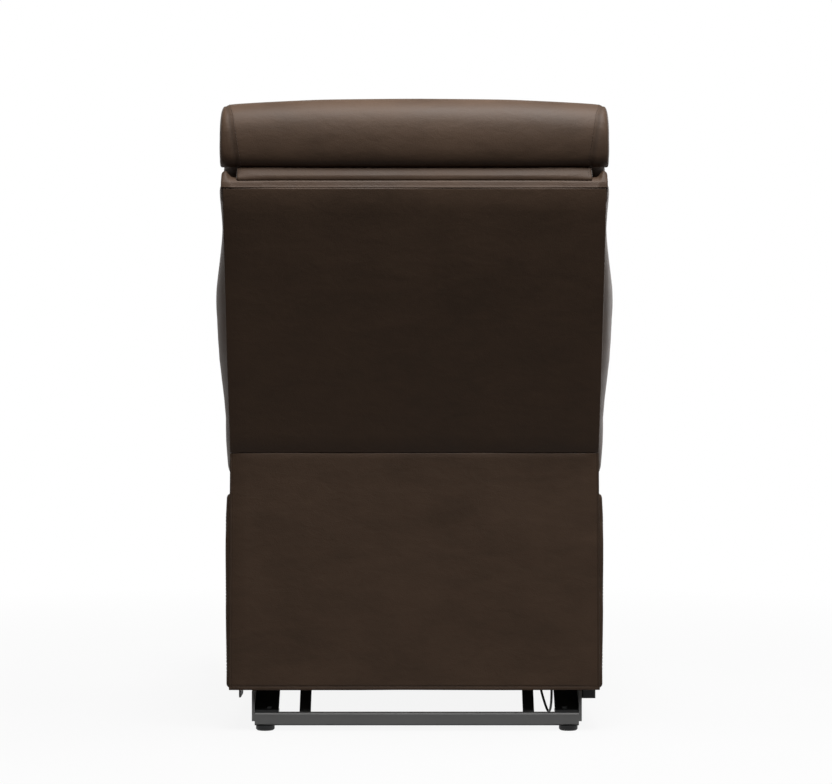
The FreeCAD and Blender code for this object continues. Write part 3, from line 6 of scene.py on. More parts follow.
import bmesh
import bpy
import numpy as np
from bpy.props import FloatProperty, FloatVectorProperty, IntProperty, PointerProperty
from bpy.types import Operator, Panel, PropertyGroup
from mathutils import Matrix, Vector, noise
from mathutils.bvhtree import BVHTree


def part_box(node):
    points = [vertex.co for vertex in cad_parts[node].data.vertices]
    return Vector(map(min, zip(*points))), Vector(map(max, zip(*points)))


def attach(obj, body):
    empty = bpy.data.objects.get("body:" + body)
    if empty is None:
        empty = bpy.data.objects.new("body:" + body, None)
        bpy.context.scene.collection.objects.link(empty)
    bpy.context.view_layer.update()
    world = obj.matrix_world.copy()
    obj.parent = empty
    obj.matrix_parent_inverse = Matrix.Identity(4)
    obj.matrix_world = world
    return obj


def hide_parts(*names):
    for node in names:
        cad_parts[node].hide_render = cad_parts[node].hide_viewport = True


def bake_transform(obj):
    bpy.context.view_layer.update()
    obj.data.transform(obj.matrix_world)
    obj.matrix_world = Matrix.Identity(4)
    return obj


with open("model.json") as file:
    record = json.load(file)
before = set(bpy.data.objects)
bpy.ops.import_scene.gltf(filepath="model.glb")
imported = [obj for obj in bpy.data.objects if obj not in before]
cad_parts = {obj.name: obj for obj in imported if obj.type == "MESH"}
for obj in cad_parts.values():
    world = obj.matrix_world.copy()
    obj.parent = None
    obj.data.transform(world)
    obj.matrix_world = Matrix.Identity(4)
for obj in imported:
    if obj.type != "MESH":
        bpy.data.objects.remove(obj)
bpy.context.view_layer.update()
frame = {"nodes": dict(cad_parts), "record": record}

bl_info = {
    "name": "Armless recliner upholstery",
    "version": (1, 0, 0),
    "blender": (4, 5, 0),
    "location": "View3D > Sidebar > Recliner",
    "description": "Builds the leather, seams, cable and steel finishes of an armless recliner",
    "category": "Object",
}

# Places that come from the CAD frame, in metres
ROLL_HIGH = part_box("headrest_cushion")[1]
SEAT_LOW, SEAT_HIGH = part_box("seat_cushion")
BACK_LOW, BACK_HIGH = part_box("back_cushion")
PAD_LOW, PAD_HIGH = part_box("footrest_pad")
FLAP_LOW, FLAP_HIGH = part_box("rear_flap")
SKIRT_LOW, SKIRT_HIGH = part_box("headrest_skirt")

# The photograph was taken level, from straight behind
CAMERA_PLACE = Vector((-0.0025, 3.941, 0.5414))
FOCAL_PIXELS = 2258.0
PHOTO_WIDTH = 832.0
SENSOR = 36.0  # millimetres

# The back leans about the crease between the two rear panels
CREASE = Vector((0.0, 0.321, FLAP_HIGH.z))
BACK_LEAN = math.radians(16.0)
UP_BACK = Vector((0.0, math.sin(BACK_LEAN), math.cos(BACK_LEAN)))
OUT_BACK = Vector((0.0, math.cos(BACK_LEAN), -math.sin(BACK_LEAN)))
PATH_STEP = 0.006


# Settings a user would change

class UpholsterySettings(PropertyGroup):
    """Sizes of the padding, seams and thread."""

    voxel: FloatProperty(
        name="Voxel", description="Mesh size of a padded piece before it is filled",
        default=0.0075, min=0.002, max=0.02, unit="LENGTH")
    slack: FloatProperty(
        name="Slack", description="How much smaller a cover starts before it is filled",
        default=0.005, min=0.0, max=0.02, unit="LENGTH")
    pressure: FloatProperty(
        name="Pressure", description="Pressure that fills the cushions",
        default=4.0, min=0.0, max=20.0)
    seam_depth: FloatProperty(
        name="Seam depth", description="How deep a seam draws the leather in",
        default=0.0028, min=0.0, max=0.01, unit="LENGTH")
    seam_width: FloatProperty(
        name="Seam width", description="How far a seam draws the leather in on each side",
        default=0.0045, min=0.001, max=0.03, unit="LENGTH")
    stitch_pitch: FloatProperty(
        name="Stitch pitch", description="Distance from one stitch to the next",
        default=0.0055, min=0.002, max=0.02, unit="LENGTH")
    stitch_length: FloatProperty(
        name="Stitch length", description="Length of one stitch",
        default=0.004, min=0.001, max=0.02, unit="LENGTH")
    thread: FloatProperty(
        name="Thread", description="Thickness of the thread",
        default=0.0009, min=0.0003, max=0.003, unit="LENGTH")
    stitch_offset: FloatProperty(
        name="Stitch offset", description="Distance of a stitch row from its seam",
        default=0.006, min=0.002, max=0.02, unit="LENGTH")
    steps: IntProperty(
        name="Steps", description="Frames over which the cushions fill",
        default=20, min=5, max=60)


class ColourSettings(PropertyGroup):
    """Base colours of the finishes."""

    leather: FloatVectorProperty(
        name="Leather", description="Brown of the leather", subtype="COLOR",
        default=(0.098, 0.059, 0.037), min=0.0, max=1.0)
    thread: FloatVectorProperty(
        name="Thread", description="Brown of the sewing thread", subtype="COLOR",
        default=(0.070, 0.042, 0.028), min=0.0, max=1.0)
    grey_steel: FloatVectorProperty(
        name="Grey steel", description="Powder coat of the crossbars", subtype="COLOR",
        default=(0.30, 0.298, 0.294), min=0.0, max=1.0)
    black_steel: FloatVectorProperty(
        name="Black steel", description="Powder coat of the mechanism", subtype="COLOR",
        default=(0.028, 0.030, 0.030), min=0.0, max=1.0)
    plywood: FloatVectorProperty(
        name="Plywood", description="Birch face of the boards", subtype="COLOR",
        default=(0.48, 0.34, 0.20), min=0.0, max=1.0)


class StageSettings(PropertyGroup):
    """Light levels and the ground."""

    top_light: FloatProperty(
        name="Top light", description="Power of the large light overhead",
        default=80.0, min=0.0, max=2000.0, unit="POWER")
    rim_light: FloatProperty(
        name="Rim light", description="Power of the light beyond the sitter's right",
        default=22.0, min=0.0, max=2000.0, unit="POWER")
    front_light: FloatProperty(
        name="Front light", description="Power of the soft light in front",
        default=9.0, min=0.0, max=2000.0, unit="POWER")
    sky: FloatProperty(
        name="Sky", description="Level of the even light from all round",
        default=0.035, min=0.0, max=2.0)


# Small tools

def active(obj):
    """Deselect everything, then select this object alone."""
    bpy.ops.object.select_all(action="DESELECT")
    bpy.context.view_layer.objects.active = obj
    obj.select_set(True)
    return obj


def apply_all(obj):
    """Apply an object's modifiers in order."""
    active(obj)
    for modifier in list(obj.modifiers):
        bpy.ops.object.modifier_apply(modifier=modifier.name)
    return obj


def places(obj):
    """Vertex places as an array."""
    flat = np.empty(len(obj.data.vertices) * 3)
    obj.data.vertices.foreach_get("co", flat)
    return flat.reshape(-1, 3)


def place_all(obj, points):
    obj.data.vertices.foreach_set("co", np.asarray(points, float).ravel())
    obj.data.update()


def normals(obj):
    """Vertex normals as an array."""
    flat = np.empty(len(obj.data.vertices) * 3)
    obj.data.vertices.foreach_get("normal", flat)
    return flat.reshape(-1, 3)


def surface_of(obj):
    """Search tree of an object's faces, for casting rays and finding near points."""
    return BVHTree.FromObject(obj, bpy.context.evaluated_depsgraph_get())


def copied(node, name):
    """Closed copy of one CAD node's mesh as a free object."""
    source = frame["nodes"][node]
    piece = bpy.data.objects.new(name, source.data.copy())
    piece.data.name = name
    bpy.context.scene.collection.objects.link(piece)
    piece.data.materials.clear()
    active(piece)
    bpy.ops.object.mode_set(mode="EDIT")
    bpy.ops.mesh.select_all(action="SELECT")
    bpy.ops.mesh.remove_doubles(threshold=0.00001)
    bpy.ops.mesh.normals_make_consistent(inside=False)
    bpy.ops.mesh.customdata_custom_splitnormals_clear()
    bpy.ops.object.mode_set(mode="OBJECT")
    return piece


def smooth_shaded(obj, angle=None):
    active(obj)
    if angle is None:
        bpy.ops.object.shade_smooth()
    else:
        bpy.ops.object.shade_smooth_by_angle(angle=math.radians(angle))
    return obj


def remeshed(obj, voxel, passes=6):
    """Even voxel mesh over an object, with its steps smoothed away."""
    remesh = obj.modifiers.new("even", "REMESH")
    remesh.mode = "VOXEL"
    remesh.voxel_size = voxel
    if passes:
        smooth = obj.modifiers.new("soften", "SMOOTH")
        smooth.factor = 0.5
        smooth.iterations = passes
    return apply_all(obj)


def distance_to_path(points, path):
    """Distance from each point to a polyline."""
    nearest = np.full(len(points), np.inf)
    path = np.asarray(path, float)
    for start, end in zip(path[:-1], path[1:]):
        run = end - start
        length = float(run @ run)
        if length < 1e-14:
            continue
        share = np.clip((points - start) @ run / length, 0.0, 1.0)
        gap = points - start - share[:, None] * run
        np.minimum(nearest, np.einsum("ij,ij->i", gap, gap), out=nearest)
    return np.sqrt(nearest)


def distance_to_paths(points, paths):
    """Distance from each point to the nearest of several polylines."""
    nearest = np.full(len(points), np.inf)
    for path in paths:
        low = np.min(path, axis=0) - 0.05
        high = np.max(path, axis=0) + 0.05
        near = np.all((points > low) & (points < high), axis=1)
        if near.any():
            nearest[near] = np.minimum(nearest[near], distance_to_path(points[near], path))
    return nearest


def mark(obj, name, values):
    """Store one number per vertex for the materials to read."""
    layer = obj.data.attributes.get(name) or obj.data.attributes.new(name, "FLOAT", "POINT")
    layer.data.foreach_set("value", np.asarray(values, np.float32))


def ring(tree, centre, across, reach=1.2, count=240, start=0.0, end=360.0):
    """Points where rays towards an X axis line meet a surface; across(angle) gives their x."""
    found = []
    for index in range(count + 1):
        angle = math.radians(start + (end - start) * index / count)
        out = Vector((0.0, math.cos(angle), math.sin(angle)))
        origin = Vector((across(angle), centre[0], centre[1])) + out * reach
        hit = tree.ray_cast(origin, -out, reach)[0]
        if hit is not None:
            found.append(hit)
    return found


def row_of_hits(tree, origins, direction, reach=1.5):
    """Points where parallel rays meet a surface."""
    found = []
    for origin in origins:
        hit = tree.ray_cast(Vector(origin), Vector(direction), reach)[0]
        if hit is not None:
            found.append(hit)
    return found


def line_of(start, end, count):
    """Evenly spaced points from start to end."""
    return [Vector(start).lerp(Vector(end), index / (count - 1)) for index in range(count)]


def traced(tree, corners, way):
    """Path along straight lines between corners, laid onto a surface in one direction."""
    hits = []
    for start, end in zip(corners, corners[1:]):
        count = max(3, int(math.dist(start, end) / PATH_STEP))
        hits += row_of_hits(tree, line_of(start, end, count), way, 0.4)
    return hits


def cut_across(piece, planes):
    """Cut an object along planes, so that it can curve between them."""
    active(piece)
    bpy.ops.object.mode_set(mode="EDIT")
    for place, normal in planes:
        bpy.ops.mesh.select_all(action="SELECT")
        bpy.ops.mesh.bisect(plane_co=place, plane_no=normal)
    bpy.ops.object.mode_set(mode="OBJECT")
    return piece


def widened(points, heights, amounts, inner=0.2, outer=0.3):
    """Flanks moved outward by amounts that change with height, fading out inward."""
    reach = np.abs(points[:, 0])
    share = np.clip((reach - inner) / (outer - inner), 0.0, 1.0) ** 2
    gain = np.interp(points[:, 2], heights, amounts) * share
    points[:, 0] += np.sign(points[:, 0]) * gain
    return points


def in_back(points):
    """Heights up the back from its crease, and distances behind its rear face."""
    gap = points - np.array(CREASE)
    return gap @ np.array(UP_BACK), gap @ np.array(OUT_BACK)


def soft_edges(piece, width):
    bevel = piece.modifiers.new("edge", "BEVEL")
    bevel.width = width
    bevel.segments = 3
    bevel.limit_method = "ANGLE"
    return apply_all(piece)


def wavy(piece, height, size):
    """Slow unevenness of leather that is drawn over a board."""
    points = places(piece)
    lift = np.array([noise.noise(Vector(point) / size) for point in points])
    place_all(piece, points + normals(piece) * (lift * height)[:, None])
    return piece


# Upholstery

def filled(piece, sewn, cap, held=None):
    """Fill a closed cover with Blender's cloth; sewn paths stay put and no point goes past cap."""
    rules = bpy.context.scene.recliner_upholstery
    start = places(piece)
    pinned = np.zeros(len(start))
    if sewn:
        pinned = np.maximum(pinned, distance_to_paths(start, sewn) < rules.voxel * 0.75)
    if held is not None:
        pinned = np.maximum(pinned, held(start))
    if pinned.all():
        return piece
    group = piece.vertex_groups.new(name="sewn")
    group.add([int(index) for index in np.nonzero(pinned)[0]], 1.0, "REPLACE")
    scene = bpy.context.scene
    scene.frame_set(1)
    cloth = piece.modifiers.new("filling", "CLOTH")
    cloth.settings.quality = 4
    cloth.settings.mass = 0.4
    cloth.settings.tension_stiffness = 25.0
    cloth.settings.compression_stiffness = 18.0
    cloth.settings.shear_stiffness = 12.0
    cloth.settings.bending_stiffness = 1.2
    cloth.settings.air_damping = 2.0
    cloth.settings.use_pressure = True
    cloth.settings.uniform_pressure_force = rules.pressure
    cloth.settings.effector_weights.gravity = 0.0
    cloth.settings.vertex_group_mass = group.name
    cloth.collision_settings.use_collision = False
    cloth.collision_settings.use_self_collision = False
    cloth.point_cache.frame_start = 1
    cloth.point_cache.frame_end = rules.steps
    for step in range(1, rules.steps + 1):
        scene.frame_set(step)
    apply_all(piece)
    scene.frame_set(1)
    piece.vertex_groups.remove(piece.vertex_groups["sewn"])
    moved = places(piece) - start
    length = np.linalg.norm(moved, axis=1)
    share = np.where(length > cap, cap / np.maximum(length, 1e-9), 1.0)
    place_all(piece, start + moved * share[:, None])
    return piece


def shrunk(piece, amount):
    """Move every vertex inward along its normal."""
    place_all(piece, places(piece) - normals(piece) * amount)
    return piece


def kept_within(piece, node, proud):
    """Draw back what stands further out of the CAD solid than proud."""
    shell = copied(node, "shell_of_" + node)
    tree = surface_of(shell)
    points = places(piece)
    for index, point in enumerate(points):
        near, normal, _, distance = tree.find_nearest(Vector(point))
        if near is None:
            continue
        outside = (Vector(point) - near).dot(normal) > 0
        if outside and distance > proud:
            points[index] = near + (Vector(point) - near) * (proud / distance)
    place_all(piece, points)
    bpy.data.objects.remove(shell)
    return piece


def subdivided(piece):
    finer = piece.modifiers.new("finer", "SUBSURF")
    finer.levels = 1
    finer.render_levels = 1
    return apply_all(piece)


def creased(piece, seams, depth=None, width=None):
    """Draw the leather in along its seams and mark how near each vertex is to one."""
    rules = bpy.context.scene.recliner_upholstery
    depth = rules.seam_depth if depth is None else depth
    width = rules.seam_width if width is None else width
    points = places(piece)
    gap = distance_to_paths(points, seams) if seams else np.full(len(points), 1.0)
    pull = np.exp(-(gap / width) ** 2)
    place_all(piece, points - normals(piece) * (pull * depth)[:, None])
    # The leather finish paints shade into the seam grooves where this mark is high.
    mark(piece, "seam", np.exp(-(gap / (width * 1.6)) ** 2))
    return piece


def stitched(name, paths, body):
    """Rows of thread stitches that lie along paths, as one object."""
    rules = bpy.context.scene.recliner_upholstery
    rows = []
    for number, path in enumerate(paths):
        if len(path) < 3:
            continue
        bpy.ops.object.select_all(action="DESELECT")
        bpy.ops.mesh.primitive_cylinder_add(vertices=6, radius=rules.thread / 2,
                                            depth=rules.stitch_length, rotation=(0, math.pi / 2, 0),
                                            location=(rules.stitch_length / 2, 0, 0))
        row = bpy.context.object
        bpy.ops.object.transform_apply(location=True, rotation=True, scale=True)
        round_ends(row, rules.stitch_length, rules.thread)
        line = bpy.data.curves.new(name + "_line", "CURVE")
        line.dimensions = "3D"
        spline = line.splines.new("POLY")
        spline.points.add(len(path) - 1)
        for point, place in zip(spline.points, path):
            point.co = (*place, 1.0)
        guide = bpy.data.objects.new(name + "_guide", line)
        bpy.context.scene.collection.objects.link(guide)
        array = row.modifiers.new("row", "ARRAY")
        array.fit_type = "FIT_CURVE"
        array.curve = guide
        array.use_relative_offset = False
        array.use_constant_offset = True
        array.constant_offset_displace = (rules.stitch_pitch, 0, 0)
        bend = row.modifiers.new("follow", "CURVE")
        bend.object = guide
        bend.deform_axis = "POS_X"
        bpy.context.view_layer.update()
        apply_all(row)
        bpy.data.objects.remove(guide)
        row.name = f"{name}_{number}"
        rows.append(row)
    bpy.ops.object.select_all(action="DESELECT")
    for row in rows:
        row.select_set(True)
    bpy.context.view_layer.objects.active = rows[0]
    if len(rows) > 1:
        bpy.ops.object.join()
    thread = bpy.context.object
    thread.name = name
    thread.data.name = name
    smooth_shaded(thread, 50)
    coat(thread, "thread")
    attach(thread, body)
    return thread


def round_ends(row, length, thickness):
    """Draw both ends of a short cylinder in, so a stitch dives into the leather."""
    for vertex in row.data.vertices:
        vertex.co.z -= 0.15 * thickness
    active(row)
    bpy.ops.object.mode_set(mode="EDIT")
    bpy.ops.mesh.select_all(action="SELECT")
    bpy.ops.mesh.bisect(plane_co=(length * 0.2, 0, 0), plane_no=(1, 0, 0))
    bpy.ops.mesh.select_all(action="SELECT")
    bpy.ops.mesh.bisect(plane_co=(length * 0.8, 0, 0), plane_no=(1, 0, 0))
    bpy.ops.object.mode_set(mode="OBJECT")
    for vertex in row.data.vertices:
        end = min(vertex.co.x, length - vertex.co.x)
        if end < length * 0.1:
            vertex.co.y *= 0.55
            vertex.co.z = vertex.co.z * 0.55 - 0.45 * thickness


def lifted(tree, path, height):
    """A path moved out of its surface by a height."""
    out = []
    for point in path:
        near, normal, _, _ = tree.find_nearest(point)
        out.append(near + normal * height)
    return out


def upholstered(node, name, body, seams=None, cap=0.010, proud=0.003, voxel=None,
                slack=None, held=None, passes=6, depth=None, width=None, shape=None):
    """A cushion made from its CAD solid: filled, drawn in at its seams and covered in leather."""
    rules = bpy.context.scene.recliner_upholstery
    piece = copied(node, name)
    remeshed(piece, rules.voxel if voxel is None else voxel, passes)
    shrunk(piece, rules.slack if slack is None else slack)
    paths = seams(surface_of(piece)) if seams else []
    filled(piece, paths, cap, held)
    kept_within(piece, node, proud)
    subdivided(piece)
    if shape:
        place_all(piece, shape(places(piece)))
    lines = seams(surface_of(piece)) if seams else []
    creased(piece, lines, depth, width)
    smooth_shaded(piece)
    coat(piece, "leather")
    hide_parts(node)
    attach(piece, body)
    return piece


# Finishes

class Value:
    """A number that changes over a surface; arithmetic on it adds Math nodes."""

    def __init__(self, tree, socket):
        self.tree = tree
        self.socket = socket

    def joined(self, operation, first, second=None, clamp=False):
        node = self.tree.nodes.new("ShaderNodeMath")
        node.operation = operation
        node.use_clamp = clamp
        for slot, value in zip(node.inputs, (first, second)):
            if isinstance(value, Value):
                self.tree.links.new(value.socket, slot)
            elif value is not None:
                slot.default_value = value
        return Value(self.tree, node.outputs[0])

    def __add__(self, other):
        return self.joined("ADD", self, other)

    def __radd__(self, other):
        return self.joined("ADD", other, self)

    def __sub__(self, other):
        return self.joined("SUBTRACT", self, other)

    def __rsub__(self, other):
        return self.joined("SUBTRACT", other, self)

    def __mul__(self, other):
        return self.joined("MULTIPLY", self, other)

    def __rmul__(self, other):
        return self.joined("MULTIPLY", other, self)

    def __truediv__(self, other):
        return self.joined("DIVIDE", self, other)

    def __pow__(self, other):
        return self.joined("POWER", self, other)

    def within(self):
        """The value held between 0 and 1."""
        return self.joined("ADD", self, 0.0, clamp=True)

    def above(self, edge, softness):
        """0 below an edge and 1 above it, over a soft step."""
        return ((self - (edge - softness)) / (2 * softness)).within()


class Finish:
    """A material whose nodes are added by name."""

    def __init__(self, name):
        self.material = bpy.data.materials.new(name)
        self.material.use_nodes = True
        self.tree = self.material.node_tree
        self.shader = self.tree.nodes["Principled BSDF"]
        self.place = self.add("ShaderNodeTexCoord").outputs["Object"]

    def add(self, kind, settings=None, **sockets):
        """A node of a type, with its settings, then the values or links of its sockets."""
        node = self.tree.nodes.new(kind)
        for key, value in (settings or {}).items():
            setattr(node, key, value)
        for key, value in sockets.items():
            self.feed(node.inputs[key.replace("_", " ")], value)
        return node

    def feed(self, slot, value):
        if isinstance(value, Value):
            self.tree.links.new(value.socket, slot)
        elif isinstance(value, bpy.types.NodeSocket):
            self.tree.links.new(value, slot)
        else:
            slot.default_value = value

    def value(self, socket):
        return Value(self.tree, socket)

    def stretched(self, scale, turn=(0.0, 0.0, 0.0)):
        """Object coordinates turned and scaled per axis."""
        return self.add("ShaderNodeMapping", Vector=self.place, Scale=scale,
                        Rotation=turn).outputs[0]

    def noise(self, scale, detail=3.0, rough=0.5, vector=None, distortion=0.0):
        node = self.add("ShaderNodeTexNoise", Vector=vector or self.place, Scale=scale,
                        Detail=detail, Roughness=rough, Distortion=distortion)
        return self.value(node.outputs["Fac"])

    def cells(self, scale):
        node = self.add("ShaderNodeTexVoronoi", Vector=self.place, Scale=scale)
        return self.value(node.outputs["Distance"])

    def attribute(self, name):
        node = self.add("ShaderNodeAttribute", {"attribute_name": name})
        return self.value(node.outputs["Fac"])

    def mixed(self, factor, first, second):
        """One colour laid over another."""
        node = self.add("ShaderNodeMix", {"data_type": "RGBA"})
        self.feed(node.inputs[0], factor)
        for slot, colour in ((node.inputs[6], first), (node.inputs[7], second)):
            self.feed(slot, (*colour, 1.0) if isinstance(colour, tuple) else colour)
        return node.outputs[2]

    def bump(self, height, strength, distance, over=None):
        node = self.add("ShaderNodeBump", Height=height, Strength=strength, Distance=distance)
        if over is not None:
            self.feed(node.inputs["Normal"], over)
        return node.outputs[0]

    def surface(self, colour, roughness, normal=None, **fixed):
        """Feed the shader; fixed numbers are set on its own sockets."""
        self.feed(self.shader.inputs["Base Color"],
                  (*colour, 1.0) if isinstance(colour, tuple) else colour)
        self.feed(self.shader.inputs["Roughness"], roughness)
        if normal is not None:
            self.feed(self.shader.inputs["Normal"], normal)
        for key, value in fixed.items():
            self.feed(self.shader.inputs[key.replace("_", " ")], value)
        return self.material


def scaled(colour, factor):
    return tuple(min(1.0, channel * factor) for channel in colour)


def leather_finish(name):
    """Brown leather: cloudy mottled colour, fine pebbled grain, painted shade along the seams and a
    soft sheen.
    """
    colour = tuple(bpy.context.scene.recliner_colours.leather)
    f = Finish(name)
    clouds = f.noise(7.0, 5.0, 0.62)
    brushed = f.noise(1.0, 4.0, 0.6, f.stretched((9.0, 9.0, 26.0), (0.0, 0.25, 0.1)), 0.8)
    patina = (clouds * 0.6 + brushed * 0.4).above(0.5, 0.16)
    seam = f.attribute("seam")
    surface_tone = f.mixed(patina, scaled(colour, 0.80), scaled(colour, 1.18))
    pores = f.cells(1100.0)
    surface_tone = f.mixed(pores.above(0.62, 0.2) * 0.25, surface_tone, scaled(colour, 0.7))
    # Painted shade: where the seam mark is high, the leather is darkened to under half its colour,
    # in the seam grooves and along the flap's edges.
    surface_tone = f.mixed((seam * 0.55).within(), surface_tone, scaled(colour, 0.45))
    pebbles = f.cells(640.0)
    fine = f.noise(1500.0, 1.0)
    folds = f.noise(1.0, 3.0, 0.55, f.stretched((34.0, 34.0, 60.0)), 0.4)
    grain = f.bump(pebbles * 0.7 + fine * 0.3, 0.35, 0.0004)
    relief = f.bump(folds, 0.18, 0.003, grain)
    rough = 0.47 + patina * 0.09 + pebbles * 0.08 + seam * 0.1
    return f.surface(surface_tone, rough, relief, Specular_IOR_Level=0.3)


def thread_finish(name):
    """Twisted polyester thread."""
    colour = tuple(bpy.context.scene.recliner_colours.thread)
    f = Finish(name)
    twist = f.noise(1.0, 2.0, 0.5, f.stretched((900.0, 900.0, 2200.0)))
    surface_tone = f.mixed(twist, scaled(colour, 0.75), scaled(colour, 1.35))
    return f.surface(surface_tone, 0.62 + twist * 0.1, f.bump(twist, 0.4, 0.0002))


def powder_coat(name, colour, orange_peel=0.16, roughness=0.42):
    """Baked powder on steel: fine orange peel, dust and faint rubs."""
    f = Finish(name)
    peel = f.noise(620.0, 2.0)
    drift = f.noise(9.0, 4.0, 0.6)
    rubs = f.noise(1.0, 5.0, 0.7, f.stretched((14.0, 160.0, 160.0))).above(0.66, 0.05)
    paint = f.mixed(drift, scaled(colour, 0.9), scaled(colour, 1.12))
    paint = f.mixed(rubs * 0.25, paint, scaled(colour, 1.5))
    rough = roughness + drift * 0.08 - rubs * 0.08
    return f.surface(paint, rough, f.bump(peel, orange_peel, 0.0003), Specular_IOR_Level=0.45)


def zinc_plate(name):
    """Bright zinc with brushed streaks and a faint spangle."""
    f = Finish(name)
    streak = f.noise(1.0, 3.0, 0.6, f.stretched((60.0, 900.0, 900.0)))
    spangle = f.cells(260.0)
    tint = f.mixed(spangle.within(), (0.50, 0.51, 0.52), (0.38, 0.38, 0.39))
    return f.surface(tint, 0.3 + streak * 0.18, f.bump(streak, 0.12, 0.0002), Metallic=1.0)


def plywood_finish(name):
    """Birch plywood: grain along the faces and thin glue lines on the edges."""
    colour = tuple(bpy.context.scene.recliner_colours.plywood)
    f = Finish(name)
    grain = f.noise(1.0, 6.0, 0.62, f.stretched((240.0, 6.0, 90.0)), 0.6)
    rings = f.noise(1.0, 3.0, 0.5, f.stretched((14.0, 1.6, 10.0)), 1.2)
    split = f.add("ShaderNodeSeparateXYZ", Vector=f.place)
    ply = f.value(split.outputs["X"]) * 640.0
    lines = ply.joined("PINGPONG", ply, 1.0).above(0.86, 0.08)
    wood = f.mixed((grain * 0.6 + rings * 0.4).above(0.5, 0.2), scaled(colour, 0.78), colour)
    wood = f.mixed(lines * 0.35, wood, scaled(colour, 0.4))
    return f.surface(wood, 0.62 + grain * 0.15, f.bump(grain, 0.25, 0.0004))


def moulded_plastic(name, colour, roughness, texture=0.25):
    """Moulded plastic with a spark-eroded texture."""
    f = Finish(name)
    spark = f.noise(1300.0, 3.0, 0.6)
    shade = f.noise(16.0, 3.0)
    tint = f.mixed(shade, scaled(colour, 0.88), scaled(colour, 1.12))
    return f.surface(tint, roughness + spark * 0.1, f.bump(spark, texture, 0.0002))


def webbing_finish(name):
    """Black elastic strap: ribs along it and a lighter tracer line."""
    f = Finish(name)
    split = f.add("ShaderNodeSeparateXYZ", Vector=f.place)
    across = f.value(split.outputs["X"]) * 800.0
    along = f.value(split.outputs["Y"]) * 500.0
    rib = across.joined("PINGPONG", across, 1.0)
    weft = along.joined("PINGPONG", along, 1.0)
    yarn = f.mixed(rib, (0.012, 0.012, 0.013), (0.045, 0.045, 0.047))
    return f.surface(yarn, 0.8 - rib * 0.1, f.bump(rib * 0.6 + weft * 0.4, 0.6, 0.0005))


def cable_finish(name):
    """Soft black cable jacket with faint moulding waves."""
    f = Finish(name)
    waves = f.noise(1.0, 2.0, 0.5, f.stretched((300.0, 300.0, 90.0)))
    jacket = f.mixed(waves, (0.010, 0.010, 0.011), (0.022, 0.022, 0.023))
    return f.surface(jacket, 0.42 + waves * 0.15, f.bump(waves, 0.2, 0.0003))


FINISHES = {}


def coat(obj, finish):
    """Give an object one of the finishes."""
    obj.data.materials.clear()
    obj.data.materials.append(FINISHES[finish])
    return obj


def make_finishes():
    colours = bpy.context.scene.recliner_colours
    FINISHES.update({
        "leather": leather_finish("brown_leather"),
        "thread": thread_finish("sewing_thread"),
        "grey_steel": powder_coat("grey_powder_coat", tuple(colours.grey_steel)),
        "black_steel": powder_coat("black_powder_coat", tuple(colours.black_steel), 0.2, 0.4),
        "zinc_steel": zinc_plate("zinc_plate"),
        "plywood": plywood_finish("birch_plywood"),
        "black_plastic": moulded_plastic("black_plastic", (0.018, 0.018, 0.019), 0.5),
        "button_plastic": moulded_plastic("button_plastic", (0.23, 0.23, 0.24), 0.3, 0.1),
        "webbing": webbing_finish("elastic_webbing"),
        "cable_jacket": cable_finish("cable_jacket"),
    })


# Operators, one for each piece or group of pieces

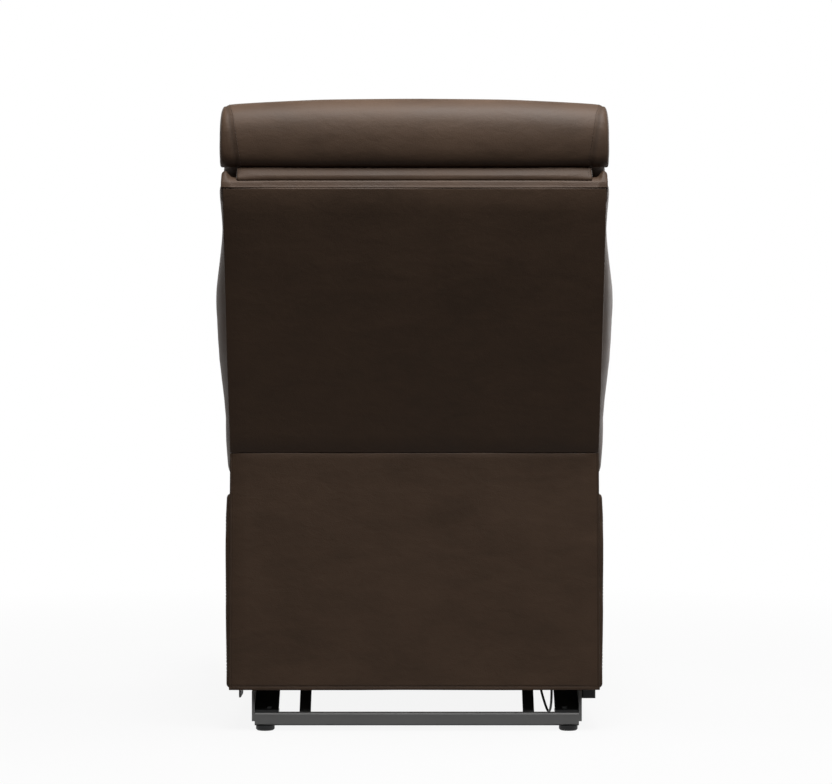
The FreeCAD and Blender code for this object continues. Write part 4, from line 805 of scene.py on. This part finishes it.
class RECLINER_OT_stage(Operator):
    """Camera of the photograph, white ground and plain studio light"""
    bl_idname = "recliner.stage"
    bl_label = "Stage"

    def execute(self, context):
        rules = context.scene.recliner_stage
        camera_data = bpy.data.cameras.new("photo_camera")
        camera_data.sensor_width = SENSOR
        camera_data.lens = SENSOR * FOCAL_PIXELS / PHOTO_WIDTH
        camera_data.clip_end = 60.0
        camera = bpy.data.objects.new("photo_camera", camera_data)
        context.scene.collection.objects.link(camera)
        camera.location = CAMERA_PLACE
        camera.rotation_euler = (math.pi / 2, 0.0, math.pi)
        context.scene.camera = camera
        context.scene.view_settings.view_transform = "Standard"
        self.ground(context)
        self.lamp("top_light", (-0.25, 0.95, 2.7), (0.0, 0.3, 0.7), 1.8, rules.top_light)
        self.lamp("rim_light", (-2.2, -2.3, 1.1), (0.0, 0.0, 0.6), 1.6, rules.rim_light)
        self.lamp("front_light", (1.6, -2.8, 1.9), (0.0, -0.2, 0.5), 1.8, rules.front_light)
        self.sky(context, rules.sky)
        return {"FINISHED"}

    def lamp(self, name, place, target, size, power):
        data = bpy.data.lights.new(name, "AREA")
        data.shape = "SQUARE"
        data.size = size
        data.energy = power
        lamp = bpy.data.objects.new(name, data)
        bpy.context.scene.collection.objects.link(lamp)
        lamp.location = place
        lamp.rotation_euler = (Vector(target) - Vector(place)).to_track_quat("-Z", "Y").to_euler()

    def ground(self, context):
        """White floor that keeps a soft shadow, curving up into a backdrop all round."""
        bpy.ops.object.select_all(action="DESELECT")
        bpy.ops.mesh.primitive_circle_add(vertices=96, radius=14.0, fill_type="NGON")
        floor = context.object
        floor.name = "floor"
        bpy.ops.object.mode_set(mode="EDIT")
        bpy.ops.mesh.select_all(action="SELECT")
        bpy.ops.mesh.inset(thickness=2.0)
        bpy.ops.object.mode_set(mode="OBJECT")
        for vertex in floor.data.vertices:
            if vertex.co.length > 13.0:
                vertex.co.z = 9.0
        smooth_shaded(floor)
        f = Finish("white_ground")
        tree = f.tree
        plain = f.add("ShaderNodeBsdfDiffuse", Color=(0.80, 0.80, 0.80, 1.0))
        dim = f.add("ShaderNodeBsdfDiffuse", Color=(0.06, 0.06, 0.06, 1.0))
        white = f.add("ShaderNodeEmission", Color=(1.0, 1.0, 1.0, 1.0), Strength=1.0)
        path = f.add("ShaderNodeLightPath")
        split = f.add("ShaderNodeSeparateXYZ", Vector=f.place)
        x, y, z = (f.value(split.outputs[axis]) for axis in "XYZ")
        distance = (x * x + y * y + z * z) ** 0.5
        seen = f.add("ShaderNodeMixShader", Fac=0.90 + distance.above(1.6, 0.8) * 0.10)
        tree.links.new(plain.outputs[0], seen.inputs[1])
        tree.links.new(white.outputs[0], seen.inputs[2])
        dark_side = y.above(0.7, 0.6) * 0.92
        mirrored = f.value(path.outputs["Is Glossy Ray"]) * (1.0 - dark_side)
        watched = f.value(path.outputs["Is Camera Ray"]) + mirrored
        watched = (watched + f.value(path.outputs["Is Transmission Ray"])).within()
        out = f.add("ShaderNodeMixShader", Fac=watched)
        tree.links.new(dim.outputs[0], out.inputs[1])
        tree.links.new(seen.outputs[0], out.inputs[2])
        tree.links.new(out.outputs[0], tree.nodes["Material Output"].inputs["Surface"])
        floor.data.materials.append(f.material)

    def sky(self, context, level):
        world = bpy.data.worlds.new("soft_sky")
        context.scene.world = world
        world.use_nodes = True
        back = world.node_tree.nodes["Background"]
        back.inputs["Color"].default_value = (1.0, 1.0, 1.0, 1.0)
        back.inputs["Strength"].default_value = level


# The cable's route from the part's source, in metres
CABLE_ROUTE = ((-0.203, 0.196, 0.147), (-0.203, 0.196, 0.120), (-0.204, 0.202, 0.088),
               (-0.207, 0.214, 0.056), (-0.214, 0.229, 0.030), (-0.219, 0.249, 0.017),
               (-0.2215, 0.267, 0.026), (-0.2225, 0.278, 0.045), (-0.2225, 0.278, 0.066))
CABLE_DIAMETER = 0.004


class RECLINER_OT_cable(Operator):
    """Motor cable that hangs in a loop under the seat box"""
    bl_idname = "recliner.cable"
    bl_label = "Cable"

    def execute(self, context):
        line = bpy.data.curves.new("motor_cable", "CURVE")
        line.dimensions = "3D"
        line.bevel_depth = CABLE_DIAMETER / 2
        line.bevel_resolution = 5
        line.resolution_u = 10
        line.use_fill_caps = True
        spline = line.splines.new("NURBS")
        spline.points.add(len(CABLE_ROUTE) - 1)
        for point, place in zip(spline.points, CABLE_ROUTE):
            point.co = (*place, 1.0)
        spline.order_u = 3
        spline.use_endpoint_u = True
        cable = bpy.data.objects.new("motor_cable", line)
        context.scene.collection.objects.link(cable)
        coat(cable, "cable_jacket")
        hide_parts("cable")
        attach(cable, "frame")
        return {"FINISHED"}


def roll_seam(side):
    """Gives the end seam of the headrest roll, which runs inward towards its underside."""
    centre = (0.352, 0.925)
    heights, reaches = (0.896, 0.974, 1.003), (0.2758, 0.2885, 0.2995)

    def lay(tree, shift=0.0):
        first = ring(tree, centre, lambda angle: side * 0.283)
        if len(first) < 8:
            return []
        ends = []
        for hit in first:
            x = float(np.interp(hit.z, heights, reaches)) - shift
            out = Vector((0.0, hit.y - centre[0], hit.z - centre[1])).normalized()
            origin = Vector((side * x, centre[0], centre[1])) + out * 1.2
            found = tree.ray_cast(origin, -out, 1.2)[0]
            if found is not None:
                ends.append(found)
        ends.append(ends[0])
        return ends

    return lay


class RECLINER_OT_headrest(Operator):
    """Headrest roll with its end seams, and the padded strip below it"""
    bl_idname = "recliner.headrest"
    bl_label = "Headrest"

    rear_line = 0.420
    tuck = 11.0
    roll_foot = 0.900
    roll_height = 0.110
    top_fullness = 0.0120
    sag_depth = 0.0055
    strip_reach = 0.013
    strip_drop = 0.004

    def execute(self, context):
        rules = context.scene.recliner_upholstery
        left, right = roll_seam(1), roll_seam(-1)

        def seams(tree):
            return [left(tree), right(tree)]

        roll = upholstered("headrest_cushion", "headrest_roll", "headrest", seams,
                           cap=0.012, proud=0.003, held=self.hidden_faces, depth=0.0013,
                           width=0.0022, shape=self.tuck_in)
        tree = surface_of(roll)
        rows = [lifted(tree, lay(tree, rules.stitch_offset), rules.thread * 0.2)
                for lay in (left, right)]
        stitched("headrest_stitches", rows, "headrest")
        skirt = upholstered("headrest_skirt", "headrest_strip", "headrest",
                            cap=0.001, proud=0.0008, voxel=0.0022, slack=0.0, passes=3,
                            depth=0.0008, width=0.002, shape=self.pulled_out)
        tree = surface_of(skirt)
        rows = [lifted(tree, path, rules.thread * 0.2) for path in self.strip_rows(tree)]
        stitched("headrest_strip_stitches", rows, "headrest")
        return {"FINISHED"}

    def hidden_faces(self, points):
        """The underside, over the board and hinges, stays as it is."""
        inner = (points[:, 1] > 0.340) & (points[:, 1] < 0.405) & (points[:, 2] < 0.905)
        return inner.astype(float)

    def tuck_in(self, points):
        """Fuller top and ends; the rear is drawn forward so that the strip below is lit."""
        beyond = np.maximum(points[:, 1] - self.rear_line, 0.0)
        points[:, 1] -= self.tuck * beyond ** 2
        rise = np.maximum((points[:, 2] - self.roll_foot) / self.roll_height, 0.0)
        crown = 1.0 - 0.35 * (points[:, 0] / ROLL_HIGH.x) ** 4
        points[:, 2] += self.top_fullness * rise ** 2 * crown
        rear = np.clip((points[:, 1] - 0.395) / 0.02, 0.0, 1.0)
        low = np.clip((self.roll_foot + 0.025 - points[:, 2]) / 0.025, 0.0, 1.0)
        points[:, 2] -= self.sag_depth * rear * low
        return widened(points, (0.870, 0.885, 0.895, 0.905, 0.935, 1.0),
                       (0.005, 0.006, 0.0055, 0.004, 0.0035, 0.005))

    def pulled_out(self, points):
        """The strip's rear face, which stands flush with the roll above it."""
        share = np.clip((points[:, 1] - SKIRT_LOW.y) / 0.012, 0.0, 1.0)
        points[:, 1] += self.strip_reach * share
        low = np.clip((SKIRT_LOW.z + 0.012 - points[:, 2]) / 0.010, 0.0, 1.0)
        points[:, 2] -= self.strip_drop * share * low
        return points

    def strip_rows(self, tree):
        """Stitches near both ends of the strip, over its rounded rear edge."""
        inset = 0.006
        rows = []
        for side in (-1, 1):
            x = side * (SKIRT_HIGH.x - inset)
            top = Vector((x, SKIRT_LOW.y + 0.026, SKIRT_HIGH.z - 0.004))
            low = Vector((x, SKIRT_HIGH.y + 0.010, SKIRT_LOW.z + 0.003))
            out = Vector((0.0, 0.6, 0.8))
            origins = [point + out * 0.1 for point in line_of(low, top, 9)]
            rows.append(row_of_hits(tree, origins, -out, 0.2))
        return rows


class RECLINER_OT_back(Operator):
    """Back cushion, rear panel and the padded edge along the top of the back"""
    bl_idname = "recliner.back"
    bl_label = "Back"

    side_seam = 0.276
    cross_seam = 0.600
    panel_half = 0.2985
    lip_top = 0.4305
    panel_top = 0.408
    lip_thick = 0.0022
    edge_rise = 0.0042
    board_depth = -0.026

    def execute(self, context):
        rules = context.scene.recliner_upholstery
        cushion = upholstered("back_cushion", "back_pillow", "back", self.seams,
                              cap=0.012, proud=0.002, held=self.against_board,
                              shape=self.full_flanks)
        tree = surface_of(cushion)
        rows = [lifted(tree, path, rules.thread * 0.2) for path in self.rows(tree)]
        stitched("back_stitches", rows, "back")
        upholstered("back_top_edge", "back_edge_roll", "back", cap=0.001,
                    proud=0.0008, voxel=0.0022, slack=0.0, passes=3, shape=self.behind_lip)
        self.rear_panel()
        return {"FINISHED"}

    def behind_lip(self, points):
        """Room for the rear leather, which runs up over the edge roll's face."""
        up, out = in_back(points)
        low = (up < self.lip_top) & (out > -0.006)
        points = points - np.where(low, self.lip_thick, 0.0)[:, None] * np.array(OUT_BACK)
        reach = np.abs(points[:, 0])
        ear = np.interp(reach, (0.0, 0.2745, 0.2906, 0.296), (0.0, 0.2825, 0.2945, 0.3010))
        points[:, 0] = np.sign(points[:, 0]) * ear
        points[:, 2] += np.where(up > self.lip_top + 0.004, self.edge_rise, 0.0)
        return points

    def full_flanks(self, points):
        """Flanks as wide as in the photograph, widest at the small of the back."""
        heights = (0.40, 0.46, 0.50, 0.53, 0.56, 0.594, 0.626, 0.66, 0.76, 0.80, 0.84, 0.87)
        amounts = (11.0, 9.0, 6.5, 7.5, 9.5, 11.0, 10.0, 7.5, 7.5, 6.0, 7.5, 9.0)
        return widened(points, heights, np.array(amounts) / 1000.0)

    def against_board(self, points):
        return (in_back(points)[1] > self.board_depth).astype(float)

    def front_line(self, tree, x):
        """Path up the front of the back cushion at one x."""
        low = Vector((x, -0.5, BACK_LOW.z + 0.02))
        high = Vector((x, -0.5, BACK_HIGH.z + 0.02))
        return row_of_hits(tree, line_of(low, high, 90), (0.0, 1.0, 0.0))

    def cross_line(self, tree, z, half):
        low = Vector((-half, -0.5, z))
        high = Vector((half, -0.5, z))
        return row_of_hits(tree, line_of(low, high, 90), (0.0, 1.0, 0.0))

    def seams(self, tree):
        return [self.front_line(tree, -self.side_seam), self.front_line(tree, self.side_seam),
                self.cross_line(tree, self.cross_seam, self.side_seam)]

    def rows(self, tree):
        offset = bpy.context.scene.recliner_upholstery.stitch_offset
        return [self.front_line(tree, offset - self.side_seam),
                self.front_line(tree, self.side_seam - offset),
                self.cross_line(tree, self.cross_seam - offset, self.side_seam - offset),
                self.cross_line(tree, self.cross_seam + offset, self.side_seam - offset)]

    def rear_panel(self):
        """Leather over the board that closes the back, with a lip up the edge roll."""
        panel = soft_edges(copied("back_panel", "rear_panel_upper"), self.lip_thick)
        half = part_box("back_panel")[1].x
        planes = [(CREASE + UP_BACK * (0.03 * step), UP_BACK) for step in range(1, 14)]
        planes += [((x, 0.0, 0.0), (1.0, 0.0, 0.0)) for x in np.linspace(-half, half, 21)[1:-1]]
        cut_across(panel, planes)
        wavy(panel, 0.0007, 0.11)
        points = places(panel)
        up, out = in_back(points)
        lip = (up > self.panel_top - 0.0035) & (out > -0.0028)
        raised = points + np.array(UP_BACK) * (self.lip_top - self.panel_top)
        points = np.where(lip[:, None], raised, points)
        points[:, 0] *= np.interp(up, (0.0, 0.3), (1.0, self.panel_half / half))
        place_all(panel, points)
        mark(panel, "seam", np.zeros(len(points)))
        smooth_shaded(panel, 40)
        coat(panel, "leather")
        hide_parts("back_panel")
        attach(panel, "back")
        return panel


class RECLINER_OT_rear_flap(Operator):
    """Leather flap that closes the rear of the seat box"""
    bl_idname = "recliner.rear_flap"
    bl_label = "Rear flap"

    topstitch = 0.2924
    hem = 0.006
    line_depth = 0.0007
    fold_start = 0.341

    def execute(self, context):
        flap = soft_edges(copied("rear_flap", "rear_panel_lower"), 0.0012)
        planes = [((0.0, 0.0, z), (0.0, 0.0, 1.0))
                  for z in np.linspace(FLAP_LOW.z, FLAP_HIGH.z, 40)[1:-1]]
        planes += [((x, 0.0, 0.0), (1.0, 0.0, 0.0))
                   for x in np.linspace(FLAP_LOW.x, FLAP_HIGH.x, 21)[1:-1]]
        for step in (-0.0014, 0.0, 0.0014):
            planes.append(((0.0, 0.0, FLAP_LOW.z + self.hem + step), (0.0, 0.0, 1.0)))
            planes += [((side * (self.topstitch + step), 0.0, 0.0), (1.0, 0.0, 0.0))
                       for side in (-1, 1)]
        cut_across(flap, planes)
        wavy(flap, 0.0006, 0.10)
        points = places(flap)
        outward = normals(flap)
        outer = (outward[:, 1] > 0.8).astype(float)
        pull = self.seam_lines(points) * outer * self.line_depth
        place_all(flap, points - outward * pull[:, None])
        smooth_shaded(flap, 40)
        # Painted shade: dark lines on the stitched lines, along both side edges and just above the
        # bottom edge.
        mark(flap, "seam", np.maximum(self.painted_edge_shade(points), self.seam_lines(points) * 0.8))
        coat(flap, "leather")
        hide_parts("rear_flap")
        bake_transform(flap)
        return {"FINISHED"}

    def seam_lines(self, points):
        """1 on the stitched lines along both sides and the hem."""
        side = np.abs(np.abs(points[:, 0]) - self.topstitch)
        hem = np.abs(points[:, 2] - FLAP_LOW.z - self.hem)
        return np.exp(-(np.minimum(side, hem) / self.line_depth) ** 2)

    # Painted shade along both side edges and 3 mm above the bottom edge.
    def painted_edge_shade(self, points):
        edge = FLAP_HIGH.x - np.abs(points[:, 0])
        hem = points[:, 2] - FLAP_LOW.z
        return np.maximum(np.exp(-(edge / 0.003) ** 2), np.exp(-((hem - 0.003) / 0.002) ** 2))


class RECLINER_OT_seat(Operator):
    """Seat cushion with its waterfall front"""
    bl_idname = "recliner.seat"
    bl_label = "Seat cushion"

    side_seam = 0.284
    half_width = 0.3095

    def execute(self, context):
        rules = context.scene.recliner_upholstery
        cushion = upholstered("seat_cushion", "seat_pillow", "frame", self.seams,
                              cap=0.012, proud=0.002, held=self.underside,
                              shape=self.full_flanks)
        tree = surface_of(cushion)
        rows = [lifted(tree, path, rules.thread * 0.2) for path in self.rows(tree)]
        stitched("seat_stitches", rows, "frame")
        return {"FINISHED"}

    def full_flanks(self, points):
        """Flanks that stand out a little over the side covers."""
        gain = self.half_width - SEAT_HIGH.x
        return widened(points, (0.36, 0.385, 0.5), (0.001, gain, gain))

    def underside(self, points):
        return (points[:, 2] < 0.384).astype(float) * (points[:, 1] > -0.40)

    def side_line(self, tree, x):
        centre = (SEAT_LOW.y + 0.10, 0.395)
        return ring(tree, centre, lambda angle: x, 1.2, 160, 0.0, 215.0)

    def seams(self, tree):
        return [self.side_line(tree, -self.side_seam), self.side_line(tree, self.side_seam)]

    def rows(self, tree):
        offset = bpy.context.scene.recliner_upholstery.stitch_offset
        inner = self.side_seam - offset
        return [self.side_line(tree, -inner), self.side_line(tree, inner)]


class RECLINER_OT_side_covers(Operator):
    """Padded leather sides of the seat box"""
    bl_idname = "recliner.side_covers"
    bl_label = "Side covers"

    border = 0.014
    lean = 0.0165

    def execute(self, context):
        rules = context.scene.recliner_upholstery
        for side, name in ((1, "left"), (-1, "right")):
            node = "side_cover_" + name
            cover = upholstered(node, "side_panel_" + name, "frame", self.seams(side),
                                cap=0.002, proud=0.001, voxel=0.006, slack=0.0005, passes=3,
                                held=lambda points: np.ones(len(points)), depth=0.0016,
                                shape=self.swelled)
            tree = surface_of(cover)
            path = self.border_line(tree, side, self.border + rules.stitch_offset)
            rows = [lifted(tree, path, rules.thread * 0.2)]
            stitched(f"side_stitches_{name}", rows, "frame")
        return {"FINISHED"}

    def swelled(self, points):
        """Padding that stands out furthest at half height and lies flat round the buttons."""
        flat = points.copy()
        heights = (0.07, 0.14, 0.21, 0.27, 0.34, 0.37)
        full = widened(points, heights, (0.001, 0.002, 0.003, 0.0035, 0.0035, 0.002), 0.28, 0.30)
        low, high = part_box("control_panel")
        y, z = flat[:, 1], flat[:, 2]
        gap = np.maximum.reduce([low.y - y, y - high.y, low.z - z, z - high.z])
        share = np.where(flat[:, 0] > 0.0, 1.0, np.clip((gap - 0.008) / 0.060, 0.0, 1.0))
        return flat + (full - flat) * share[:, None]

    def border_line(self, tree, side, inset):
        low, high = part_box("side_cover_left")
        y0, y1 = low.y + inset, high.y - inset
        z0, z1 = low.z + inset, high.z - inset
        corners = [(side * 0.5, y, z) for y, z in
                   ((y0, z0), (y1, z0), (y1 - self.lean, z1), (y0, z1), (y0, z0))]
        return traced(tree, corners, (-side, 0.0, 0.0))

    def seams(self, side):
        return lambda tree: [self.border_line(tree, side, self.border)]


class RECLINER_OT_footrest(Operator):
    """Padded footrest with its border seam"""
    bl_idname = "recliner.footrest"
    bl_label = "Footrest pad"

    seam_inset = 0.030

    def execute(self, context):
        rules = context.scene.recliner_upholstery
        pad = upholstered("footrest_pad", "footrest_pillow", "footrest", self.seams,
                          cap=0.008, proud=0.002, voxel=0.005, slack=0.003,
                          held=lambda points: (points[:, 1] > -0.414).astype(float))
        tree = surface_of(pad)
        rows = [lifted(tree, path, rules.thread * 0.2) for path in self.rows(tree)]
        stitched("footrest_stitches", rows, "footrest")
        return {"FINISHED"}

    def border(self, tree, inset):
        x = PAD_HIGH.x - inset
        z0, z1 = PAD_LOW.z + inset, PAD_HIGH.z - inset
        corners = [(-x, -0.6, z0), (x, -0.6, z0), (x, -0.6, z1), (-x, -0.6, z1), (-x, -0.6, z0)]
        return traced(tree, corners, (0.0, 1.0, 0.0))

    def seams(self, tree):
        return [self.border(tree, self.seam_inset)]

    def rows(self, tree):
        offset = bpy.context.scene.recliner_upholstery.stitch_offset
        return [self.border(tree, self.seam_inset + offset)]


class RECLINER_OT_hardware(Operator):
    """Steel, wood and plastic finishes on the CAD nodes"""
    bl_idname = "recliner.hardware"
    bl_label = "Hardware finishes"

    def execute(self, context):
        slots = {row["node"]: row["material_slot"] for row in frame["record"]["subparts"]}
        for node, obj in frame["nodes"].items():
            slot = slots[node]
            finish = "leather" if "leather" in slot else slot
            coat(obj, finish)
        return {"FINISHED"}


PIECES = (RECLINER_OT_stage, RECLINER_OT_cable, RECLINER_OT_headrest, RECLINER_OT_back,
          RECLINER_OT_rear_flap, RECLINER_OT_seat, RECLINER_OT_side_covers,
          RECLINER_OT_footrest, RECLINER_OT_hardware)


class RECLINER_PT_panel(Panel):
    """Lists the pieces of the recliner"""
    bl_idname = "RECLINER_PT_panel"
    bl_label = "Recliner"
    bl_space_type = "VIEW_3D"
    bl_region_type = "UI"
    bl_category = "Recliner"

    def draw(self, context):
        for piece in PIECES:
            self.layout.operator(piece.bl_idname)
        for group in ("recliner_upholstery", "recliner_colours", "recliner_stage"):
            settings = getattr(context.scene, group)
            box = self.layout.box()
            for name in settings.__annotations__:
                box.prop(settings, name)


CLASSES = (UpholsterySettings, ColourSettings, StageSettings, *PIECES, RECLINER_PT_panel)


def register():
    for item in CLASSES:
        bpy.utils.register_class(item)
    bpy.types.Scene.recliner_upholstery = PointerProperty(type=UpholsterySettings)
    bpy.types.Scene.recliner_colours = PointerProperty(type=ColourSettings)
    bpy.types.Scene.recliner_stage = PointerProperty(type=StageSettings)


def unregister():
    del bpy.types.Scene.recliner_stage
    del bpy.types.Scene.recliner_colours
    del bpy.types.Scene.recliner_upholstery
    for item in reversed(CLASSES):
        bpy.utils.unregister_class(item)


def main():
    register()
    make_finishes()
    for piece in PIECES:
        group, name = piece.bl_idname.split(".")
        getattr(getattr(bpy.ops, group), name)()


if __name__ == "__main__":
    main()
